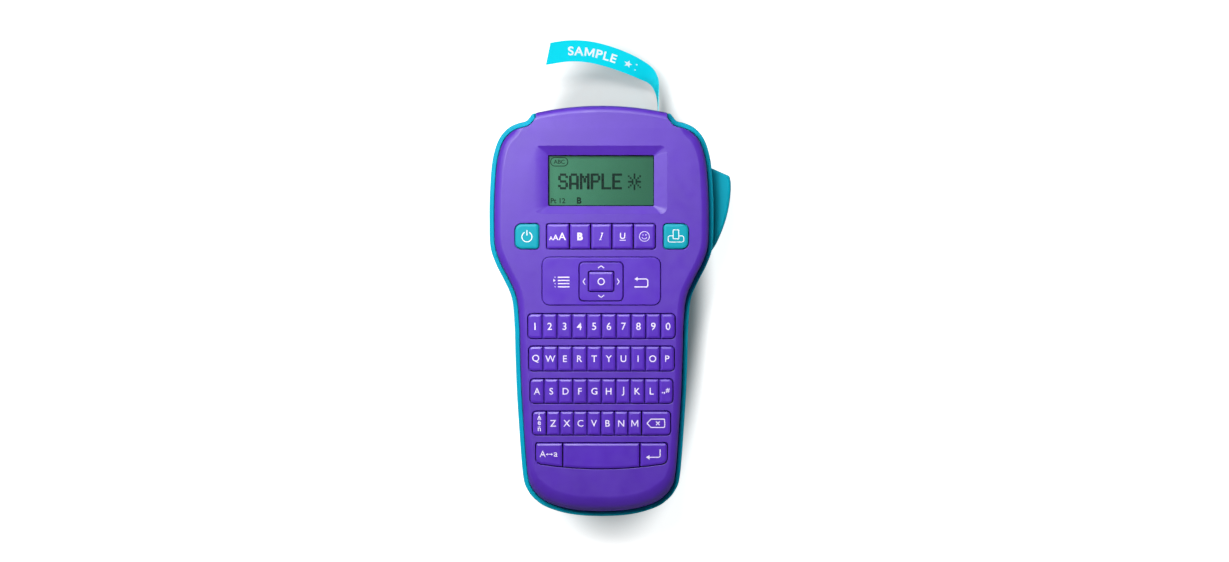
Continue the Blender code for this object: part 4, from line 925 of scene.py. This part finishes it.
def lcd_marks(left, low, high):
    """Segments and dots that the display shows: a generic word and its settings."""
    marks = []
    top = high - 9.3
    for number, character in enumerate("SAMPLE"):
        marks += dot_bars(character, left + 5.3 + 5.4 * number, top, 0.9, 1.14, 0.2)
    marks += dot_bars("*", left + 39.9, top, 0.95, 0.92, -0.06)
    pill = fillet(box_corners((left + 1.3, high - 5.6, left + 9.9, high - 1.3)), 2.1, 6)
    marks += [stroke(pill, 0.4, True), text("ABC", 2.0, left + 5.6, high - 3.45, bold=0.14),
              text("Pt 12", 2.5, left + 5.0, low + 2.6, bold=0.15),
              text("B", 3.0, left + 15.6, low + 2.7, bold=0.4)]
    return marks


def lcd_material():
    """Green liquid crystal with a painted reflection: its colour is lighter at its left side and darker
    towards its right.
    """
    material = plastic("lcd_glass", (0.046, 0.195, 0.112), 0.8, grain=0.1, bump=0.02, wear=0.05, specular=0.0)
    nodes, links = material.node_tree.nodes, material.node_tree.links
    place, split = nodes.new("ShaderNodeTexCoord"), nodes.new("ShaderNodeSeparateXYZ")
    # Painted reflection: the base colour is scaled from full at the left edge down to 0.58 at the right edge.
    painted_reflection_fade, painted_reflection_dimmed = map_range(nodes, -0.027, 0.027, 1.0, 0.58), nodes.new("ShaderNodeVectorMath")
    painted_reflection_dimmed.operation = "SCALE"
    colour = nodes["Principled BSDF"].inputs["Base Color"]
    links.new(colour.links[0].from_socket, painted_reflection_dimmed.inputs[0])
    links.new(place.outputs["Object"], split.inputs["Vector"])
    links.new(split.outputs["X"], painted_reflection_fade.inputs["Value"])
    links.new(painted_reflection_fade.outputs["Result"], painted_reflection_dimmed.inputs["Scale"])
    links.new(painted_reflection_dimmed.outputs["Vector"], colour)
    return material


def window_material():
    """Clear lens: mostly see-through, with a faint haze, fine dust and a glossy surface."""
    material = bpy.data.materials.new("clear_lens")
    material.use_nodes = True
    nodes, links = material.node_tree.nodes, material.node_tree.links
    output, gloss = nodes["Material Output"], nodes["Principled BSDF"]
    gloss.inputs["Base Color"].default_value = (0.9, 1.0, 0.95, 1)
    gloss.inputs["Metallic"].default_value = 1.0
    clear = nodes.new("ShaderNodeBsdfTransparent")
    blend = nodes.new("ShaderNodeMixShader")
    place, dust = nodes.new("ShaderNodeTexCoord"), nodes.new("ShaderNodeTexNoise")
    dust.inputs["Scale"].default_value = 900.0
    dust.inputs["Detail"].default_value = 4.0
    amount = map_range(nodes, 0.35, 0.8, 0.007, 0.011)
    rough = map_range(nodes, 0.3, 0.7, 0.26, 0.30)
    links.new(place.outputs["Object"], dust.inputs["Vector"])
    links.new(dust.outputs["Fac"], amount.inputs["Value"])
    links.new(dust.outputs["Fac"], rough.inputs["Value"])
    links.new(rough.outputs["Result"], gloss.inputs["Roughness"])
    links.new(amount.outputs["Result"], blend.inputs["Fac"])
    links.new(clear.outputs["BSDF"], blend.inputs[1])
    links.new(gloss.outputs["BSDF"], blend.inputs[2])
    links.new(blend.outputs["Shader"], output.inputs["Surface"])
    return material


def display():
    area, top = cap_area("lcd_panel", BELOW_WINDOW)
    panel = solid("lcd_glass_panel", slab(box_corners(area), top - 1.4, top, 0.15), FACE_FRAME)
    settle(panel, "housing", lcd_material(), "lcd_green", "lcd_panel")
    left, low, right, high = window_area()
    # Dark border round the window: a thin printed border, made wider along the top and left edges as painted
    # shadow of the window's edge.
    border = fillet(box_corners((left, low, right, high), 0.1), 0.4, 3)
    view = fillet(box_corners((left + 0.75, low + 0.4, right - 0.4, high - 0.75)), 0.4, 3)
    border_with_painted_shadow = solid("lcd_border_painted_shadow", prism(border, top + 0.02, top + 0.2), FACE_FRAME)
    carve(border_with_painted_shadow, "DIFFERENCE", cutter(prism(view, top - 1, top + 1), FACE_FRAME))
    settle(apply_all(border_with_painted_shadow), "housing", LCD_INK, "lcd_green")
    legend("lcd_segments", "housing", lcd_marks(left, low, high), top, LCD_INK, "lcd_green")
    area, top = cap_area("display_window", BELOW_WINDOW)
    lens = solid("lens", slab(fillet(box_corners(area), 0.4, 4), top - 1.0, top, 0.1), FACE_FRAME)
    settle(lens, "housing", window_material(), "clear_window", "display_window")


# ---- label

# Places along the label's middle line, each with the twist of the label there in degrees.
LABEL_PATH = [(28.5, 189.6, 12, 0), (28.5, 197, 12, 0), (28.5, 203, 12, 0), (28.3, 209.3, 12.3, 3),
              (27.5, 214.5, 12.9, 13), (25.8, 218.7, 13.9, 27), (21.6, 222.5, 15.4, 43),
              (12, 227.1, 18.2, 54), (2.4, 230.4, 20.6, 58), (-7.2, 232.5, 22.8, 60),
              (-16.8, 232.8, 24.6, 60), (-26.8, 231.3, 26, 60)]
LABEL_STEPS, LABEL_END_SLANT = 10, 4.0
LABEL_HALF, TAPE_HALF = (TAPE_HIGH - TAPE_LOW) / 2, 0.12
LABEL_SECTION = ((-1, -1), (-1, 1), (-0.34, 1), (0.34, 1), (1, 1), (1, -1), (0.34, -1), (-0.34, -1))
LABEL_LETTERS = ((11.6, "S"), (15.7, "A"), (21.2, "M"), (26.3, "P"), (30.2, "L"), (34.0, "E"))
STAR_AT, STAR_OUTER, STAR_INNER = 42.0, 2.34, 0.99


def label_frames():
    """Centre, direction across, direction along and slant at close steps of the twisted label."""
    path = smooth(LABEL_PATH, LABEL_STEPS)
    frames = []
    for k, (x, y, z, twist) in enumerate(path):
        a, b = path[max(k - 1, 0)], path[min(k + 1, len(path) - 1)]
        along = Vector((b[0] - a[0], b[1] - a[1], 0)).normalized()
        outward = Vector((along.y, -along.x, 0))
        turn = math.radians(twist)
        across = Vector((0, 0, math.cos(turn))) + outward * math.sin(turn)
        share = max(0.0, (k - len(path) + LABEL_STEPS + 1) / LABEL_STEPS)
        frames.append((Vector((x, y, z)), across, along, along * LABEL_END_SLANT / 2 * share))
    return frames


def on_label(frames, lengths, run, side, lift):
    """Point of the label a distance from its far end, at a place across it (-1 to 1), lifted off it."""
    target = min(max(lengths[-1] - run, 0.0), lengths[-1] - 1e-6)
    k = min(int(np.searchsorted(lengths, target, side="right")) - 1, len(frames) - 2)
    share = (target - lengths[k]) / (lengths[k + 1] - lengths[k])
    here, there = frames[k], frames[k + 1]
    centre, across, _, slant = (a.lerp(b, share) for a, b in zip(here, there))
    across.normalize()
    normal = across.cross((there[0] - here[0]).normalized()).normalized()
    return centre + across * LABEL_HALF * side - slant * side + normal * lift


def label():
    frames = label_frames()
    steps = [(b[0] - a[0]).length for a, b in zip(frames, frames[1:])]
    lengths = np.concatenate([[0.0], np.cumsum(steps)])
    work = bmesh.new()
    rows = []
    for length in lengths:
        run = lengths[-1] - length
        rows.append([work.verts.new(on_label(frames, lengths, run, side, face * TAPE_HALF) * MM)
                     for side, face in LABEL_SECTION])
    for a, b in zip(rows, rows[1:]):
        for k in range(len(a)):
            work.faces.new((a[k - 1], a[k], b[k], b[k - 1]))
    work.faces.new(list(reversed(rows[0])))
    work.faces.new(rows[-1])
    settle(new_mesh("label_strip", work), "printed_label", TAPE, "cyan_tape", "printed_label")
    star = []
    for k in range(10):
        angle, radius = math.pi * k / 5 + math.pi / 2, STAR_INNER if k % 2 else STAR_OUTER
        star.append((STAR_AT + radius * math.cos(angle), radius * math.sin(angle)))
    marks = [letter(character, 4.8, x, 0, 0.22) for x, character in LABEL_LETTERS] + [filled(star)]
    marks += [filled(circle(spot, 0.45, 10)) for spot in ((46.2, 1.9), (46.6, -1.6))]
    work = joined(marks)
    bmesh.ops.triangulate(work, faces=work.faces)
    for vertex in work.verts:
        x, y, z = vertex.co
        lift = TAPE_HALF + (2 * INK_HALF if z > 0 else INK_HALF)
        vertex.co = on_label(frames, lengths, x, y / LABEL_HALF, lift) * MM
    settle(new_mesh("label_print", work), "printed_label", WHITE_INK, "cyan_tape")


# ---- lever

PAD_OUTSIDE = [(54.7, 131.6), (57.2, 135.2), (59.4, 139.8), (61.4, 144.9), (63.0, 150.1), (64.2, 156),
               (64.8, 161), (64.9, 167.0), (64.2, 170.0)]
PAD_INSIDE = [(56.0, 173.6), (50.3, 175.2), (48.3, 172), (48.0, 150), (45.5, 137)]
LEVER_ARM = [(36.6, 124.6), (43.0, 123.4), (48.5, 140), (48.6, 173), (46.6, 183.5), (44.4, 188.6),
             (37.6, 188.6), (37.6, 185.7), (43.0, 185.7), (43.3, 182), (43.3, 170), (42.8, 140)]
PAD_LOW, PAD_HIGH = 8.0, 25.6
HUB_RADIUS, PIVOT_HOLE = 4.2, 1.8


def lever():
    outline = smooth(PAD_OUTSIDE, 4) + smooth(PAD_INSIDE, 2)
    piece = solid("lever_pad", stack(outline, [(a, PAD_LOW - b) for a, b in reversed(rounding(1.0))] +
                                     [(a, PAD_HIGH + b) for a, b in rounding(1.4, 5)]))
    arm = cutter(slab(LEVER_ARM, 12.0, 21.0, 0.3))
    carve(piece, "UNION", arm, rod(LEVER_PIVOT, HUB_RADIUS, 10, 21.2))
    carve(piece, "DIFFERENCE", rod(LEVER_PIVOT, PIVOT_HOLE, 5, 30))
    settle(apply_all(piece), "cutter_lever", TEAL, "teal_plastic", "cutter_lever")


# ---- inner pieces

def inner_pieces():
    """Finishes of the CAD nodes inside the housing, which are kept as they are."""
    groups = (
        (BOARD, "main_board"), (GAP_SHADE_SILICONE, "keypad_mat"), (BLACK_RUBBER, "platen_roller"),
        (DARK, "mechanism_plate", "print_head", "cassette_case"), (TAPE, "tape_web", "tape_roll"),
        (RIBBON, "ribbon_supply_spool", "ribbon_takeup_spool"),
        (NYLON, "platen_gear", "idler_gear", "ribbon_spindle", "nav_pivot"),
        (STEEL, "cutter_blade", "cutter_spring", "lever_pin", "feed_motor", "motor_pinion",
         "battery_contact_lower", "battery_contact_upper", *[f"case_screw_{k}" for k in range(1, 7)]),
        (CELL, *[f"battery_{k}" for k in range(1, 7)]),
    )
    for material, *nodes in groups:
        for node in nodes:
            finishes = frame["nodes"][node].data.materials
            finishes.clear()
            finishes.append(material)


# ---- stage

WORLD, GLOW_NEAR, GLOW_FAR = 0.07, 0.09, 0.95
GLOW_FROM, GLOW_TO = 0.104, 0.14
LIGHTS = {
    "key": ((-0.085, 0.46, 0.75), (0.0, 0.03, 0.0), (0.235, 0.19), 3.4),
    "sheen": ((-0.12, 0.14, 0.44), (-0.04, 0.06, 0.03), (0.15, 0.15), 1.35),
    "side": ((-0.8, 0.45, 0.9), (0.0, 0.06, 0.0), (0.3, 0.3), 3.4),
}
CAMERA_AIM, CAMERA_HEIGHT = (0.0065, 0.01475), 3.454
FLOOR_REACH = 4000


def area_light(name, place, target, size, power):
    lamp = bpy.data.lights.new(name, "AREA")
    lamp.shape = "RECTANGLE"
    lamp.size, lamp.size_y = size
    lamp.energy = power
    holder = bpy.data.objects.new(name, lamp)
    holder.location = place
    holder.rotation_euler = (Vector(target) - Vector(place)).to_track_quat("-Z", "Y").to_euler()
    holder.visible_camera = False
    bpy.context.scene.collection.objects.link(holder)


def floor_material():
    """White sweep that glows a little more away from the object, so that the backdrop stays white."""
    paper = plastic("white_sweep", (0.49, 0.475, 0.47), 0.8, grain=0.05, bump=0.02, variation=0.01, wear=0.0,
                    specular=0.1, grain_scale=500.0)
    nodes, links = paper.node_tree.nodes, paper.node_tree.links
    shader, place = nodes["Principled BSDF"], nodes.new("ShaderNodeTexCoord")
    narrow, distance = nodes.new("ShaderNodeVectorMath"), nodes.new("ShaderNodeVectorMath")
    glow = map_range(nodes, GLOW_FROM, GLOW_TO, GLOW_NEAR, GLOW_FAR)
    narrow.operation, distance.operation = "MULTIPLY_ADD", "LENGTH"
    narrow.inputs[1].default_value = (2.6, 1.0, 0.0)
    narrow.inputs[2].default_value = (-0.013, -0.014, 0.0)
    glow.interpolation_type = "SMOOTHSTEP"
    links.new(place.outputs["Object"], narrow.inputs[0])
    links.new(narrow.outputs["Vector"], distance.inputs[0])
    links.new(distance.outputs["Value"], glow.inputs["Value"])
    links.new(glow.outputs["Result"], shader.inputs["Emission Strength"])
    shader.inputs["Emission Color"].default_value = (1, 1, 1, 1)
    return paper


def studio_world():
    """Soft white above the horizon and dark below it."""
    world = bpy.data.worlds.new("studio")
    world.use_nodes = True
    nodes, links = world.node_tree.nodes, world.node_tree.links
    place, split = nodes.new("ShaderNodeTexCoord"), nodes.new("ShaderNodeSeparateXYZ")
    level = map_range(nodes, -0.05, 0.05, 0.0, WORLD)
    links.new(place.outputs["Generated"], split.inputs["Vector"])
    links.new(split.outputs["Z"], level.inputs["Value"])
    links.new(level.outputs["Result"], nodes["Background"].inputs["Strength"])
    nodes["Background"].inputs["Color"].default_value = (1, 1, 1, 1)
    return world


def stage():
    scene = bpy.context.scene
    work = bmesh.new()
    add_loft(work, prism(box_corners((0, 0, 0, 0), FLOOR_REACH), -30, -0.05))
    floor = new_mesh("floor", work, Matrix.Identity(4))
    floor.data.materials.append(floor_material())
    floor.visible_glossy = False
    scene.world = studio_world()
    for name, (place, target, size, power) in LIGHTS.items():
        area_light(name, place, target, size, power)
    camera = bpy.data.cameras.new("camera")
    camera.lens, camera.sensor_width = 200.0, 36.0
    camera.clip_end = 50.0
    holder = bpy.data.objects.new("camera", camera)
    holder.location = (*CAMERA_AIM, CAMERA_HEIGHT)
    scene.collection.objects.link(holder)
    scene.camera = holder
    scene.view_settings.view_transform = "Standard"


cover()
housing()
door("cassette_door", CASSETTE_OPENING)
door("battery_door", BATTERY_OPENING)
keyboard()
nav_cluster()
display()
label()
lever()
inner_pieces()
stage()
for helper in TEMP:
    bpy.data.objects.remove(helper, do_unlink=True)
